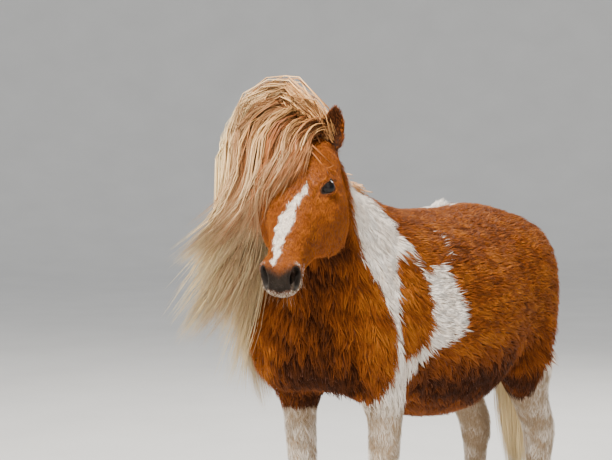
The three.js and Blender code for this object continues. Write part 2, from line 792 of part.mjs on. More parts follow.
const FACING_AHEAD = -0.9;
const MANE = {
  guide: maneGuide, heading: maneHeading, width: 56, from: 0.03, to: 0.985, seed: 22,
  coreRadius: 13, coreRings: 12,
  layers: [
    { last: 0.5, rows: 4, reach: 0.8, fall: 0.85, clearance: 14, tilt: -0.1 },
    { first: 0.56, last: 0.9, rows: 4, reach: 0.7, fall: 1.15, clearance: 16, tilt: -0.1 },
    { last: 0.5, rows: 5, reach: 1, fall: 1, clearance: 30, tilt: -0.5 },
    { first: 0.56, rows: 6, reach: 1, fall: 1, clearance: 36, tilt: -0.5 },
    { first: 0.94, rows: 2, reach: 0.8, fall: 1.1, clearance: 22, tilt: FACING_AHEAD },
    { first: 0.92, rows: 2, reach: 1.06, fall: 0.8, clearance: 38, tilt: FACING_AHEAD },
  ],
};
const FORELOCK = {
  guide: forelockGuide, heading: forelockHeading, width: 46, from: 0, to: 1, seed: 23,
  coreRadius: 11, coreRings: 5,
  layers: [
    { last: 0.6, rows: 4, reach: 1, fall: 1, clearance: 14, tilt: -0.25 },
    { first: 0.15, last: 0.45, rows: 2, reach: 1.2, fall: 0.9, clearance: 26, tilt: -0.25 },
    { first: 0.8, last: 1, rows: 1, reach: 0.6, fall: 1.15, clearance: 14, tilt: FACING_AHEAD },
    { first: 0.75, last: 1, rows: 2, reach: 0.85, fall: 1.05, clearance: 24, tilt: FACING_AHEAD },
    { first: 0.9, last: 1, rows: 1, reach: 1.05, fall: 0.95, clearance: 34, tilt: FACING_AHEAD },
  ],
};

const TAIL = { dockShare: 0.3, rootRadius: 27, endRadius: 15, thickness: 9, seed: 24 };
const TAIL_LAYERS = [
  { count: 6, width: 56, spreadOut: 52, length: 0.96 },
  { count: 2, width: 46, spreadOut: 20, length: 1 },
];

// The dock is the tail's own flesh, under the first third of its hair.
function tailHair() {
  const random = seeded(TAIL.seed);
  const dock = spread(0, TAIL.dockShare, 5).map((s) => {
    const centre = TAIL_LINE.getPoint(s);
    const radius = mix(TAIL.rootRadius, TAIL.endRadius, s / TAIL.dockShare);
    return Array.from({ length: CORE_SIDES }, (_, j) => {
      const angle = (j / CORE_SIDES) * Math.PI * 2;
      return along(centre, LEFT, Math.cos(angle) * radius).addScaledVector(AHEAD, -Math.sin(angle) * radius);
    });
  });
  const pieces = [closedTube(dock, TAIL_LINE.getPoint(0), TAIL_LINE.getPoint(TAIL.dockShare + 0.02))];
  for (const { count, width, spreadOut, length } of TAIL_LAYERS) {
    for (let i = 0; i < count; i += 1) {
      const angle = ((i + random() * 0.15) / count) * Math.PI * 2;
      const reach = length * (0.86 + random() * 0.14);
      pieces.push(lock(tailGuide(angle, spreadOut * (0.9 + random() * 0.2), reach), {
        width: width * (0.85 + random() * 0.3), thickness: TAIL.thickness,
        flat: vec(-Math.sin(angle), Math.cos(angle), 0),
      }));
    }
  }
  return join(pieces);
}

// Feather: locks that hang from the back and sides of each fetlock and pastern
const FEATHER_WIDTH = 32;
const FEATHER_ROWS = [
  { height: 162, drop: 92, out: 16, count: 3, sweep: 1.3 },
  { height: 112, drop: 84, out: 26, count: 4, sweep: 1.9 },
];

function feather(leg) {
  const random = seeded(leg.seed);
  const stations = legStations(leg);
  return FEATHER_ROWS.flatMap(({ height, drop, out, count, sweep }) => {
    const away = (station) => Math.abs(station.centre.z - height);
    const station = stations.reduce((a, b) => (away(b) < away(a) ? b : a));
    return spread(-sweep, sweep, count).map((turn) => {
      const angle = -Math.PI / 2 + turn * 0.62 + (random() - 0.5) * 0.2;
      const direction = vec(Math.cos(angle), -Math.sin(angle), 0);
      const root = along(station.centre, direction, eggReach(angle, station) - 5);
      const fall = drop * (0.85 + random() * 0.25);
      const swing = (s) => out * Math.sin((Math.PI * s) / 2);
      const guide = (s) => along(root, direction, swing(s)).addScaledVector(UP, -fall * s);
      return lock(guide, {
        width: FEATHER_WIDTH * (0.85 + random() * 0.3), thickness: HAIR_THICKNESS,
        flat: UP.clone().cross(direction), profile: FEATHER_PROFILE,
      });
    });
  });
}

// Assembly

// The origin is on the floor under the middle of the pony's length.
const MIDDLE_OF_LENGTH = 111;
const pony = new THREE.Group();
pony.position.set(0, MIDDLE_OF_LENGTH, 0);

function addNode(name, solid, colour, roughness = 0.85) {
  const material = new THREE.MeshStandardMaterial({ color: COLOURS[colour], roughness, metalness: 0 });
  const mesh = new THREE.Mesh(toGeometry(solid), material);
  mesh.name = name;
  pony.add(mesh);
}

// The solid itself and copies of it moved a little four ways, which together cut a gap round it.
const FOUR_WAYS = [vec(1, 1, 1), vec(1, -1, -1), vec(-1, 1, -1), vec(-1, -1, 1)];

function roundAbout(solid) {
  const moved = FOUR_WAYS.map((way) => {
    const { x, y, z } = way.clone().multiplyScalar(GAP);
    return toSolid(toGeometry(solid).translate(x, y, z));
  });
  return [solid, ...moved];
}

const torso = torsoSolid();
const torsoSpace = torsoSolid(GAP);
const headSpace = headBlock(GAP);
const head = headSolid();
const neck = largest(cutBy(neckSolid(), [torsoSpace, headSpace]));
const neckSpace = neckSolid(GAP);

addNode("torso", torso, "chestnut");
addNode("neck", neck, "chestnut");
addNode("head", head, "chestnut");

for (const [side, name] of [[1, "left"], [-1, "right"]]) {
  addNode(`${name}_eye`, eyeSolid(side), "eye", 0.15);
  addNode(`${name}_ear`, largest(cutBy(earSolid(side), [headSpace, neckSpace])), "ear");
}

for (const [name, leg] of Object.entries(LEGS)) {
  const feathered = join([legSolid(leg), ...feather(leg)]);
  addNode(name, largest(cutBy(feathered, [torsoSpace, hoofSolid(leg, GAP)])), "white");
  addNode(name.replace("foreleg", "fore_hoof").replace("leg", "hoof"), hoofSolid(leg), "hoof", 0.5);
}

const earSpaces = [1, -1].map((side) => earSolid(side, GAP));
const eyeSpaces = [1, -1].map((side) => eyeSolid(side, GAP));
const flesh = [torsoSpace, neckSpace, headSpace, ...earSpaces, ...eyeSpaces];
const forelock = largest(cutBy(hairRow(FORELOCK), flesh));
addNode("forelock", forelock, "flaxen");
addNode("mane", largest(cutBy(hairRow(MANE), [...flesh, ...roundAbout(forelock)])), "flaxen");
addNode("tail", largest(cutBy(tailHair(), [torsoSpace])), "flaxen");

export default pony;
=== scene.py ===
# %% [markdown]
# # A Shetland pony in its winter coat
#
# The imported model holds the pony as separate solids: torso, neck, head, ears, legs, eyes, hooves, and
# the mane, forelock and tail as broad locks. This lesson dresses them. One seamless skin takes the
# place of the flesh, about a hundred thousand small tufts grow over it, and thousands of fine strands
# take the place of the broad locks. Every length is in metres, in the frame of the solids, where the
# pony faces -Y, its left side is +X and the floor is z = 0.

import math

import bpy
import numpy as np
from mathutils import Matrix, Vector, kdtree
from mathutils.bvhtree import BVHTree


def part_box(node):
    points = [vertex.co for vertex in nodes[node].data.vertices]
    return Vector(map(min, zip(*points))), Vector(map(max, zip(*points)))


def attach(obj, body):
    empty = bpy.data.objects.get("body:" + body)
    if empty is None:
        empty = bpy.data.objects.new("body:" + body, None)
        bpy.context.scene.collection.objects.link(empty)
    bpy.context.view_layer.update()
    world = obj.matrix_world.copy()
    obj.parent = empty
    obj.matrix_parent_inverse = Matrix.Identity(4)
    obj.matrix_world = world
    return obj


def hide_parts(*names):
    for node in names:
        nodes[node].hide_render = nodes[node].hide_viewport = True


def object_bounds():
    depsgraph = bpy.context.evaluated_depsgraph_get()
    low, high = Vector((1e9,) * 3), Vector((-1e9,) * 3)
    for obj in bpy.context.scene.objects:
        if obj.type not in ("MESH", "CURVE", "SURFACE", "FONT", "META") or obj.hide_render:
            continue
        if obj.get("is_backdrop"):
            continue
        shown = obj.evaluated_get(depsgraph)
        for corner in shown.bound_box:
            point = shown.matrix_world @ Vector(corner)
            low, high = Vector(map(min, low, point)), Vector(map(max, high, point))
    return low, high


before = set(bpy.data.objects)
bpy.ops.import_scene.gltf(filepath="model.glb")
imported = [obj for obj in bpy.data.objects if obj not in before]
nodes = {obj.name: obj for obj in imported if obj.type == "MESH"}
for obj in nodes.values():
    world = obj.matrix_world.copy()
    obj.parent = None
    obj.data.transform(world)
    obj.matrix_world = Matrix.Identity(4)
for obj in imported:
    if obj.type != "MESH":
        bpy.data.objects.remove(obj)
cad_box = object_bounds()
scene = bpy.context.scene
print("solids:", len(nodes), "box:", [[round(v, 3) for v in corner] for corner in cad_box])

# %% [markdown]
# ## The camera
#
# The photo was taken from in front and a little to the pony's left, from standing height, with a long
# lens, so the body behind the head is strongly foreshortened. A camera could be aimed by eye, but the
# perspective of the back and legs fixes its distance, so the place and lens are given as numbers.

# %% Camera
CAMERA_PLACE = (2.386, -3.712, 1.233)
CAMERA_TURN = math.radians(35)
CAMERA_DIP = math.radians(3.78)
PHOTO_WIDTH = 612
FOCAL_PIXELS = 1845

bpy.ops.object.select_all(action="DESELECT")
bpy.ops.object.camera_add(location=CAMERA_PLACE, rotation=(math.pi / 2 - CAMERA_DIP, 0, CAMERA_TURN))
camera = bpy.context.object
camera.data.lens = camera.data.sensor_width * FOCAL_PIXELS / PHOTO_WIDTH
scene.camera = camera
print("lens:", round(camera.data.lens, 1), "mm")

# %% [markdown]
# ## Writing shader maths as Python
#
# A finish is a network of nodes. Wiring them by hand hides the idea, so a small class wraps an output
# socket and lets Python's own operators add the Math nodes. Any other node comes from one method that
# takes its type, its settings and its inputs.

# %% Shader helpers
class Shade:
    """The output of a shader node, which Python's operators build on."""

    def __init__(self, tree, socket):
        self.tree = tree
        self.socket = socket

    def maths(self, operation, *others):
        inputs = dict(enumerate((self, *others)))
        return add_node(self.tree, "ShaderNodeMath", {"operation": operation}, inputs)

    def __add__(self, other):
        return self.maths("ADD", other)

    def __sub__(self, other):
        return self.maths("SUBTRACT", other)

    def __rsub__(self, other):
        return add_node(self.tree, "ShaderNodeMath", {"operation": "SUBTRACT"}, {0: other, 1: self})

    def __mul__(self, other):
        return self.maths("MULTIPLY", other)

    def __pow__(self, other):
        return self.maths("POWER", other)

    __radd__ = __add__
    __rmul__ = __mul__


def add_node(tree, kind, settings=None, inputs=None, output=0):
    """Adds any node: its settings first, then the values or links of its sockets."""
    node = tree.nodes.new(kind)
    for name, value in (settings or {}).items():
        if name == "stops":
            ramp = node.color_ramp
            while len(ramp.elements) < len(value):
                ramp.elements.new(1)
            for element, (place, colour) in zip(ramp.elements, value):
                element.position = place
                element.color = (*colour, 1)
        else:
            setattr(node, name, value)
    for key, value in (inputs or {}).items():
        if isinstance(value, Shade):
            tree.links.new(value.socket, node.inputs[key])
        elif isinstance(value, tuple) and len(value) == 3 and node.inputs[key].type == "RGBA":
            node.inputs[key].default_value = (*value, 1)
        else:
            node.inputs[key].default_value = value
    return Shade(tree, node.outputs[output])


class Finish:
    """A new material with one Principled shader, and short ways to the nodes used most."""

    def __init__(self, name, **constants):
        self.material = bpy.data.materials.new(name)
        self.material.use_nodes = True
        self.tree = self.material.node_tree
        self.shader = self.tree.nodes["Principled BSDF"]
        for key, value in constants.items():
            self.shader.inputs[key.replace("_", " ")].default_value = value

    def node(self, kind, settings=None, inputs=None, output=0):
        return add_node(self.tree, kind, settings, inputs, output)

    def attribute(self, name):
        return self.node("ShaderNodeAttribute", {"attribute_name": name}, output="Fac")

    def place(self, scale=(1, 1, 1)):
        where = self.node("ShaderNodeTexCoord", output="Object")
        return self.node("ShaderNodeMapping", None, {"Vector": where, "Scale": scale})

    def noise(self, where, scale, detail=3.0, roughness=0.5):
        inputs = {"Vector": where, "Scale": scale, "Detail": detail, "Roughness": roughness}
        return self.node("ShaderNodeTexNoise", None, inputs)

    def ramp(self, factor, stops):
        return self.node("ShaderNodeValToRGB", {"stops": stops}, {"Fac": factor})

    def between(self, low, high, factor):
        sockets = {0: factor, 6: low, 7: high}
        return self.node("ShaderNodeMix", {"data_type": "RGBA"}, sockets, output=2)

    def feed(self, socket, shade):
        self.tree.links.new(shade.socket, self.shader.inputs[socket])

    def bump(self, height, strength, distance):
        inputs = {"Height": height, "Strength": strength, "Distance": distance}
        self.feed("Normal", self.node("ShaderNodeBump", None, inputs))


print("shader helpers ready")

# %% [markdown]
# ## Floor and light
#
# The pony stands on a plain pale floor that sweeps up far away all round, as in a photo studio, so no
# edge shows. Outdoors its coat was lit by a soft sun and a bright sky. Large lights do the same here, and
# keep the shadows of single tufts soft enough to read as fur.

# %% Stage
SKY = (0.84, 0.86, 0.90)
SKY_STRENGTH = 0.65
SWEEP = {"flat": 9.0, "radius": 5.0, "top": 7.0, "sides": 96}
LIGHTS = [
    # name, place, aimed at, size, power, colour
    ("sun_above", (0.6, -2.6, 4.2), (0, -0.2, 0.8), 1.6, 540, (1.0, 0.94, 0.84)),
    ("front_fill", (3.4, -3.4, 2.0), (0, -0.3, 0.7), 3.0, 55, (0.98, 0.98, 1.0)),
    ("left_fill", (-3.0, -3.2, 1.3), (0, -0.4, 0.8), 2.6, 135, (1.0, 0.94, 0.84)),
    ("back_rim", (-0.8, 3.2, 3.0), (0, 0.1, 0.9), 1.6, 130, (1.0, 0.95, 0.88)),
]


def sweep_profile():
    """Distance from the middle and height along the floor and up the sweep."""
    bend = np.linspace(0, math.pi / 2, 25)
    away = SWEEP["flat"] + SWEEP["radius"] * np.sin(bend)
    rise = SWEEP["radius"] * (1 - np.cos(bend))
    return [*zip(away.tolist(), rise.tolist()), (away[-1], SWEEP["top"])]


sides = SWEEP["sides"]
turns = np.arange(sides) * (2 * math.pi / sides)
corners = [(away * math.cos(turn), away * math.sin(turn), rise)
           for away, rise in sweep_profile() for turn in turns]
strips = [tuple(range(sides))]
for row in range(len(corners) // sides - 1):
    for i in range(sides):
        low, low_next = row * sides + i, row * sides + (i + 1) % sides
        strips.append((low, low + sides, low_next + sides, low_next))
floor_mesh = bpy.data.meshes.new("floor")
floor_mesh.from_pydata(corners, [], strips)
floor_mesh.polygons.foreach_set("use_smooth", [True] * len(strips))
floor = bpy.data.objects.new("floor", floor_mesh)
scene.collection.objects.link(floor)
plaster = Finish("pale_floor", Roughness=0.9)
grain = plaster.noise(plaster.place(), 3.0, 4.0)
plaster.feed("Base Color", plaster.ramp(grain, [(0.3, (0.70, 0.70, 0.69)), (0.7, (0.74, 0.74, 0.73))]))
floor.data.materials.append(plaster.material)
floor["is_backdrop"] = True

world = bpy.data.worlds.new("soft_sky")
scene.world = world
world.use_nodes = True
world.node_tree.nodes["Background"].inputs["Color"].default_value = (*SKY, 1)
world.node_tree.nodes["Background"].inputs["Strength"].default_value = SKY_STRENGTH

for name, place, target, size, power, colour in LIGHTS:
    bpy.ops.object.light_add(type="AREA", location=place)
    lamp = bpy.context.object
    lamp.name = name
    lamp.rotation_euler = (Vector(target) - Vector(place)).to_track_quat("-Z", "Y").to_euler()
    lamp.data.size = size
    lamp.data.energy = power
    lamp.data.color = colour
print("lights:", len(LIGHTS))

# %% [markdown]
# ## Where things are on the head
#
# Eyes, nostrils and mouth are easiest to place by how far they lie from the poll towards the lips, how
# far to the pony's left, and how far off the line of the face. The head is turned and dipped, so two
# functions translate between those measures and the room.

# %% The head's own measures
POLL = np.array((0.108, -0.449, 1.178))
HEAD_TURN = math.radians(22)
HEAD_PITCH = math.radians(44)
UP = np.array((0.0, 0.0, 1.0))
LEFT = np.array((1.0, 0.0, 0.0))
_ahead = np.array((math.sin(HEAD_TURN), -math.cos(HEAD_TURN), 0))
HEAD_LEFT = np.array((math.cos(HEAD_TURN), math.sin(HEAD_TURN), 0))
HEAD_DOWN = _ahead * math.cos(HEAD_PITCH) - UP * math.sin(HEAD_PITCH)
HEAD_OFF = _ahead * math.sin(HEAD_PITCH) + UP * math.cos(HEAD_PITCH)


def on_head(length, sideways, rise):
    return POLL + HEAD_DOWN * length + HEAD_LEFT * sideways + HEAD_OFF * rise


def head_direction(length, sideways, rise):
    direction = HEAD_DOWN * length + HEAD_LEFT * sideways + HEAD_OFF * rise
    return direction / np.linalg.norm(direction)


def in_head(points):
    """Length from the poll, distance to the left and rise off the face line, for many points."""
    offset = points - POLL
    return offset @ HEAD_DOWN, offset @ HEAD_LEFT, offset @ HEAD_OFF


def ramp(values, low, high):
    """0 below low, 1 above high and smooth between, for numbers and arrays."""
    t = np.clip((values - low) / (high - low), 0, 1)
    return t * t * (3 - 2 * t)


def bell(values, middle, width):
    """1 at the middle, and nearly 0 from twice the width away."""
    return np.exp(-((values - middle) / width) ** 2)


def unit(vectors):
    return vectors / np.maximum(np.linalg.norm(vectors, axis=-1, keepdims=True), 1e-9)


print("the lips are at", on_head(0.4, 0, -0.05).round(3))

# %% [markdown]
# ## One skin for the flesh
#
# Under its coat a pony has one unbroken skin. The solids meet with hairline gaps, so the skin could be
# sewn by hand or by Boolean joins, but a voxel remesh fuses overlapping copies in one step and gives an
# even surface that smooths well. The leg solids carry broad locks of feather at the fetlocks, so each
# copy is cut above them and a clean pastern is drawn through to the hoof.

# %% Helpers for modelling
def select_only(obj):
    bpy.ops.object.select_all(action="DESELECT")
    obj.select_set(True)
    bpy.context.view_layer.objects.active = obj


def copy_of(node):
    """A copy of a solid's mesh, with its loose triangles merged."""
    copy = bpy.data.objects.new(f"{node}_copy", nodes[node].data.copy())
    scene.collection.objects.link(copy)
    select_only(copy)
    bpy.ops.object.mode_set(mode="EDIT")
    bpy.ops.mesh.select_all(action="SELECT")
    bpy.ops.mesh.remove_doubles(threshold=1e-5)
    bpy.ops.object.mode_set(mode="OBJECT")
    return copy


def tube_through(rings, sides=24):
    """A closed tube drawn ring by ring: each is (x, y, z, half width, half depth)."""
    x, y, z, width, depth = rings[0]
    bpy.ops.object.select_all(action="DESELECT")
    bpy.ops.mesh.primitive_circle_add(vertices=sides, radius=1, fill_type="NGON", location=(x, y, z))
    tube = bpy.context.object
    bpy.ops.object.mode_set(mode="EDIT")
    bpy.ops.mesh.select_all(action="SELECT")
    bpy.ops.transform.resize(value=(width, depth, 1), center_override=(x, y, z))
    for x1, y1, z1, width1, depth1 in rings[1:]:
        step = (x1 - x, y1 - y, z1 - z)
        bpy.ops.mesh.extrude_region_move(TRANSFORM_OT_translate={"value": step})
        bpy.ops.transform.resize(value=(width1 / width, depth1 / depth, 1), center_override=(x1, y1, z1))
        x, y, z, width, depth = x1, y1, z1, width1, depth1
    bpy.ops.mesh.select_all(action="SELECT")
    bpy.ops.mesh.normals_make_consistent(inside=False)
    bpy.ops.object.mode_set(mode="OBJECT")
    bpy.ops.object.transform_apply(location=True, rotation=True, scale=True)
    return tube


def finish_with(obj, kind, **settings):
    """Adds a modifier and applies it at once."""
    select_only(obj)
    modifier = obj.modifiers.new(kind.title(), kind)
    for name, value in settings.items():
        setattr(modifier, name, value)
    bpy.ops.object.modifier_apply(modifier=modifier.name)


print("modelling helpers ready")

# %% Gather the flesh
LEGS = {
    "left_foreleg": "left_fore_hoof", "right_foreleg": "right_fore_hoof",
    "left_hind_leg": "left_hind_hoof", "right_hind_leg": "right_hind_hoof",
}
FEATHER_TOP = 0.178
SOLE_AHEAD = 0.080
# height, place behind the middle of the coronet, half width, half depth
PASTERN = [
    (0.046, -0.002, 0.036, 0.040), (0.060, 0.002, 0.034, 0.037), (0.081, 0.012, 0.030, 0.033),
    (0.105, 0.024, 0.028, 0.033), (0.130, 0.031, 0.031, 0.037), (0.155, 0.034, 0.029, 0.034),
    (0.186, 0.034, 0.026, 0.031),
]
# The dock is the fleshy root of the tail: place, half width, half depth
DOCK = [
    (0.0, 0.600, 0.890, 0.034, 0.026), (0.0, 0.640, 0.878, 0.028, 0.024),
    (-0.001, 0.664, 0.840, 0.021, 0.019), (-0.002, 0.674, 0.790, 0.017, 0.016),
    (-0.002, 0.676, 0.730, 0.012, 0.012),
]


def coronet(hoof):
    """The middle of a hoof's upper edge, seen from above."""
    low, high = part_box(hoof)
    return (low.x + high.x) / 2, low.y + SOLE_AHEAD


flesh = [copy_of(name) for name in ("torso", "neck", "head", "left_ear", "right_ear")]
flesh += [copy_of(name) for name in ("left_eye", "right_eye")]
for leg, hoof in LEGS.items():
    limb = copy_of(leg)
    bpy.ops.object.mode_set(mode="EDIT")
    bpy.ops.mesh.select_all(action="SELECT")
    bpy.ops.mesh.bisect(
        plane_co=(0, 0, FEATHER_TOP), plane_no=(0, 0, 1), clear_inner=True, use_fill=True
    )
    bpy.ops.object.mode_set(mode="OBJECT")
    foot_x, foot_y = coronet(hoof)
    rings = [(foot_x, foot_y + back, z, half, deep) for z, back, half, deep in PASTERN]
    flesh += [limb, tube_through(rings)]
flesh.append(tube_through(DOCK))

bpy.ops.object.select_all(action="DESELECT")
for piece in flesh:
    piece.select_set(True)
bpy.context.view_layer.objects.active = flesh[0]
bpy.ops.object.join()
skin = bpy.context.object
skin.name = "skin"
print("pieces joined:", len(flesh), "faces:", len(skin.data.polygons))

# %% [markdown]
# ## Fusing, smoothing and thinning the skin
#
# A fine voxel keeps the thin cups of the ears. The body needs no such detail under a long coat, so it is
# smoothed more and then thinned with a Decimate modifier that a vertex group keeps away from the head.
# Last the skin sinks inside the solids by the depth of the coat, because the solids' outline is the
# outline of the pony with its fur on.

# %% Fuse and smooth
VOXEL = 0.0038
EAR_LENGTH = 0.094
EAR_ROOT = {side: on_head(0.020, side * 0.050, -0.024) for side in (1, -1)}
EAR_TIP = {side: EAR_ROOT[side] + unit(np.array((side * 0.24, -0.16, 1))) * EAR_LENGTH for side in (1, -1)}


def points_of(obj):
    points = np.empty(len(obj.data.vertices) * 3, np.float32)
    obj.data.vertices.foreach_get("co", points)
    return points.reshape(-1, 3).astype(float)


def normals_of(obj):
    normals = np.empty(len(obj.data.vertices) * 3, np.float32)
    obj.data.vertex_normals.foreach_get("vector", normals)
    return normals.reshape(-1, 3).astype(float)


def move_points(obj, points):
    obj.data.vertices.foreach_set("co", points.astype(np.float32).ravel())
    obj.data.update()


def off_rod(points, start, end):
    """Distance of many points from the line between two."""
    line = end - start
    t = np.clip((points - start) @ line / (line @ line), 0, 1)
    return np.linalg.norm(points - start - t[:, None] * line, axis=1)


def near_rod(points, start, end, whole, none):
    """1 up to one distance from the line between two points, and 0 beyond another."""
    return 1 - ramp(off_rod(points, np.array(start), np.array(end)), whole, none)


def one_ear(points, side):
    """1 on the free part of one ear and 0 on the head."""
    return near_rod(points, EAR_ROOT[side] + UP * 0.02, EAR_TIP[side], 0.024, 0.040)


def ear_share(points):
    """The same for both ears."""
    return np.maximum(one_ear(points, 1), one_ear(points, -1))


def head_share(points):
    """1 on the head and 0 on the neck, with a soft border behind the jaw and poll."""
    length, sideways, rise = in_head(points)
    jaw = np.interp(length, [0, 0.11, 0.18, 0.28, 0.41], [-0.14, -0.20, -0.20, -0.14, -0.11])
    inside = ramp(length, -0.04, 0.03) * ramp(rise, jaw - 0.03, jaw + 0.01)
    return inside * (1 - ramp(np.abs(sideways), 0.11, 0.14)) * ramp(points[:, 2], 0.75, 0.85)


def weigh(obj, name, weights, levels=8):
    """Stores a share for each vertex in a vertex group, in a few even steps."""
    group = obj.vertex_groups.new(name=name)
    steps = np.round(weights * levels).astype(int)
    for step in range(levels + 1):
        group.add(np.flatnonzero(steps == step).tolist(), step / levels, "REPLACE")


finish_with(skin, "REMESH", mode="VOXEL", voxel_size=VOXEL)
places = points_of(skin)
on_ear = ear_share(places)
on_face = head_share(places)
on_leg = 1 - ramp(places[:, 2], 0.44, 0.60)
print("fused:", len(skin.data.polygons), "faces")
weigh(skin, "smooth", np.clip(1 - 0.75 * on_face - 0.9 * on_leg, 0, 1) * (1 - on_ear))
weigh(skin, "thin", 1 - np.maximum(on_face, on_ear))
finish_with(skin, "SMOOTH", factor=0.5, iterations=60, vertex_group="smooth")
finish_with(skin, "SMOOTH", factor=0.4, iterations=3)

# %% Sink and thin
# How deep the flesh lies under the outline of the coat
COAT_DEPTH = {"body": 0.009, "chest": 0.016, "head": 0.0035, "ear": 0.0008, "shin": 0.0045, "dock": 0.002}
KEPT_SHARE = 0.20
# Small corrections of the flesh: from, to, radius, how much further out. The hair of the buttocks runs
# on into the thighs, the gaskins are broad behind, and a crease parts the left arm from the chest.
FULLER = [
    ((0.197, 0.500, 0.670), (0.197, 0.512, 0.600), 0.055, 0.011),
    ((-0.197, 0.500, 0.670), (-0.197, 0.512, 0.600), 0.055, 0.011),
    ((-0.078, 0.620, 0.450), (-0.076, 0.650, 0.350), 0.055, 0.010),
    ((0.152, -0.325, 0.700), (0.134, -0.296, 0.600), 0.032, -0.012),
]

places = points_of(skin)
on_ear = ear_share(places)
on_face = head_share(places)
on_leg = 1 - ramp(places[:, 2], 0.44, 0.58)
on_chest = (1 - ramp(places[:, 1], -0.24, -0.08)) * (1 - ramp(places[:, 2], 0.90, 1.0))
on_dock = ramp(places[:, 1], 0.61, 0.64)
depth = COAT_DEPTH["body"] + (COAT_DEPTH["chest"] - COAT_DEPTH["body"]) * on_chest
depth += (COAT_DEPTH["shin"] - depth) * on_leg
depth += (COAT_DEPTH["head"] - depth) * on_face
depth += (COAT_DEPTH["ear"] - depth) * on_ear
depth += (COAT_DEPTH["dock"] - depth) * on_dock * ramp(places[:, 2], 0.66, 0.72)
for start, end, radius, further in FULLER:
    depth -= further * near_rod(places, start, end, 0, radius)
move_points(skin, places - normals_of(skin) * depth[:, None])
finish_with(skin, "DECIMATE", ratio=KEPT_SHARE, vertex_group="thin", vertex_group_factor=100)
print("thinned:", len(skin.data.polygons), "faces")

# %% [markdown]
# ## Lids, nostrils and mouth
#
# A voxel mesh is too coarse for eyelids, so the faces round the eyes and on the muzzle are subdivided
# first. Then the skin is moved as a sculptor would: inside the almond of the eye it sinks behind the
# eyeball, round the almond it is lifted over the ball as lids with a crease above them, the nostrils are
# pressed in and their rims raised, and a groove between two soft rolls makes the lips.

# %% Refine the head
EYE = {side: on_head(0.153, side * 0.062, -0.005) for side in (1, -1)}
EYE_RADIUS = 0.018
EYE_REACH = 0.034
MUZZLE_FROM = 0.300


def subdivide_where(obj, chosen):
    """Splits the faces whose centres pass a test."""
    centres = np.empty(len(obj.data.polygons) * 3, np.float32)
    obj.data.polygons.foreach_get("center", centres)
    picked = chosen(centres.reshape(-1, 3).astype(float))
    select_only(obj)
    scene.tool_settings.mesh_select_mode = (False, False, True)
    obj.data.vertices.foreach_set("select", np.zeros(len(obj.data.vertices), bool))
    obj.data.edges.foreach_set("select", np.zeros(len(obj.data.edges), bool))
    obj.data.polygons.foreach_set("select", picked)
    bpy.ops.object.mode_set(mode="EDIT")
    bpy.ops.mesh.subdivide(number_cuts=1)
    bpy.ops.object.mode_set(mode="OBJECT")
    return int(picked.sum())


def near_eyes(reach):
    return lambda points: np.min([np.linalg.norm(points - c, axis=1) for c in EYE.values()], axis=0) < reach


def on_muzzle(points):
    return (in_head(points)[0] > MUZZLE_FROM) & (head_share(points) > 0.5)


print("split:", subdivide_where(skin, on_muzzle), subdivide_where(skin, near_eyes(EYE_REACH)),
      subdivide_where(skin, near_eyes(EYE_REACH * 0.8)))
finish_with(skin, "TRIANGULATE")
finish_with(skin, "SMOOTH", factor=0.5, iterations=1)
print("skin triangles:", len(skin.data.polygons))

# %% Sculpt the lids
LID_INNER = 0.0205
LID_OUTER = 0.0170
LID_ABOVE = 0.0118
LID_BELOW = 0.0092
LID_STAND = 0.0030
SOCKET_RADIUS = 0.0140
# Folds and rolls: place as a share of the opening's edge, half width, how far out, and on which lid
LID_FOLDS = [
    (1.60, 0.13, -0.0020, "upper"), (2.15, 0.16, -0.0013, "upper"), (1.80, 0.14, -0.0011, "lower"),
    (1.25, 0.16, 0.0012, "both"),
]


def eye_axes(side):
    """Out of the eye, towards its inner corner, and up across it."""
    out = head_direction(0.34, side * 0.84, 0.42)
    inner = head_direction(0.84, -side * 0.5, 0.3)
    inner = unit(inner - out * (inner @ out))
    return out, inner, np.cross(inner, out) * side


def round_eye(points, side):
    """How far out from the middle of the eye opening points lie, as a share of its edge."""
    out, inner, rise = eye_axes(side)
    offset = points - EYE[side]
    along = offset @ inner
    up = offset @ rise + 0.10 * along
    reach = np.where(along > 0, LID_INNER, LID_OUTER)
    height = np.where(up > 0, LID_ABOVE, LID_BELOW)
    share = np.hypot(along / reach, up / height)
    return np.where(offset @ out > 0, share, 9.0), up


def sculpt_eye(points, side):
    offset = points - EYE[side]
    radius = np.linalg.norm(offset, axis=1)
    share, up = round_eye(points, side)
    near = (radius < 0.05) & (share < 4)
    stand = EYE_RADIUS + LID_STAND * np.where(up > 0, 1.0, 0.75)
    lifted = np.maximum(radius, stand)
    lifted = radius + (lifted - radius) * (1 - ramp(share, 1.7, 2.6))
    above = ramp(up, -0.004, 0.004)
    lid = {"upper": above, "lower": 1 - above, "both": 1}
    target = lifted
    for place, width, out, which in LID_FOLDS:
        target = target + out * bell(share, place, width) * lid[which]
    sunk = 1 - ramp(share, 0.90, 1.05)
    target += (SOCKET_RADIUS - target) * sunk
    return np.where(near[:, None], EYE[side] + offset / radius[:, None] * target[:, None], points)


places = points_of(skin)
for side in (1, -1):
    places = sculpt_eye(places, side)
move_points(skin, places)
print("lids done")

# %% Sculpt the muzzle
NOSTRIL = {side: on_head(0.386, side * 0.030, -0.028) for side in (1, -1)}
NOSTRIL_HALF_WIDTH = 0.0130
NOSTRIL_HALF_HEIGHT = 0.0245
NOSTRIL_DEPTH = 0.014
NOSTRIL_LIP = {"share": 1.28, "width": 0.20, "out": 0.0024}
LIPS = {"away": 0.007, "width": 0.004, "out": 0.0016, "groove": 0.0036, "groove_width": 0.0018}
MOUTH = {"corner": 0.322, "front": 0.404, "half": 0.044, "corner_rise": -0.065, "front_rise": -0.056}


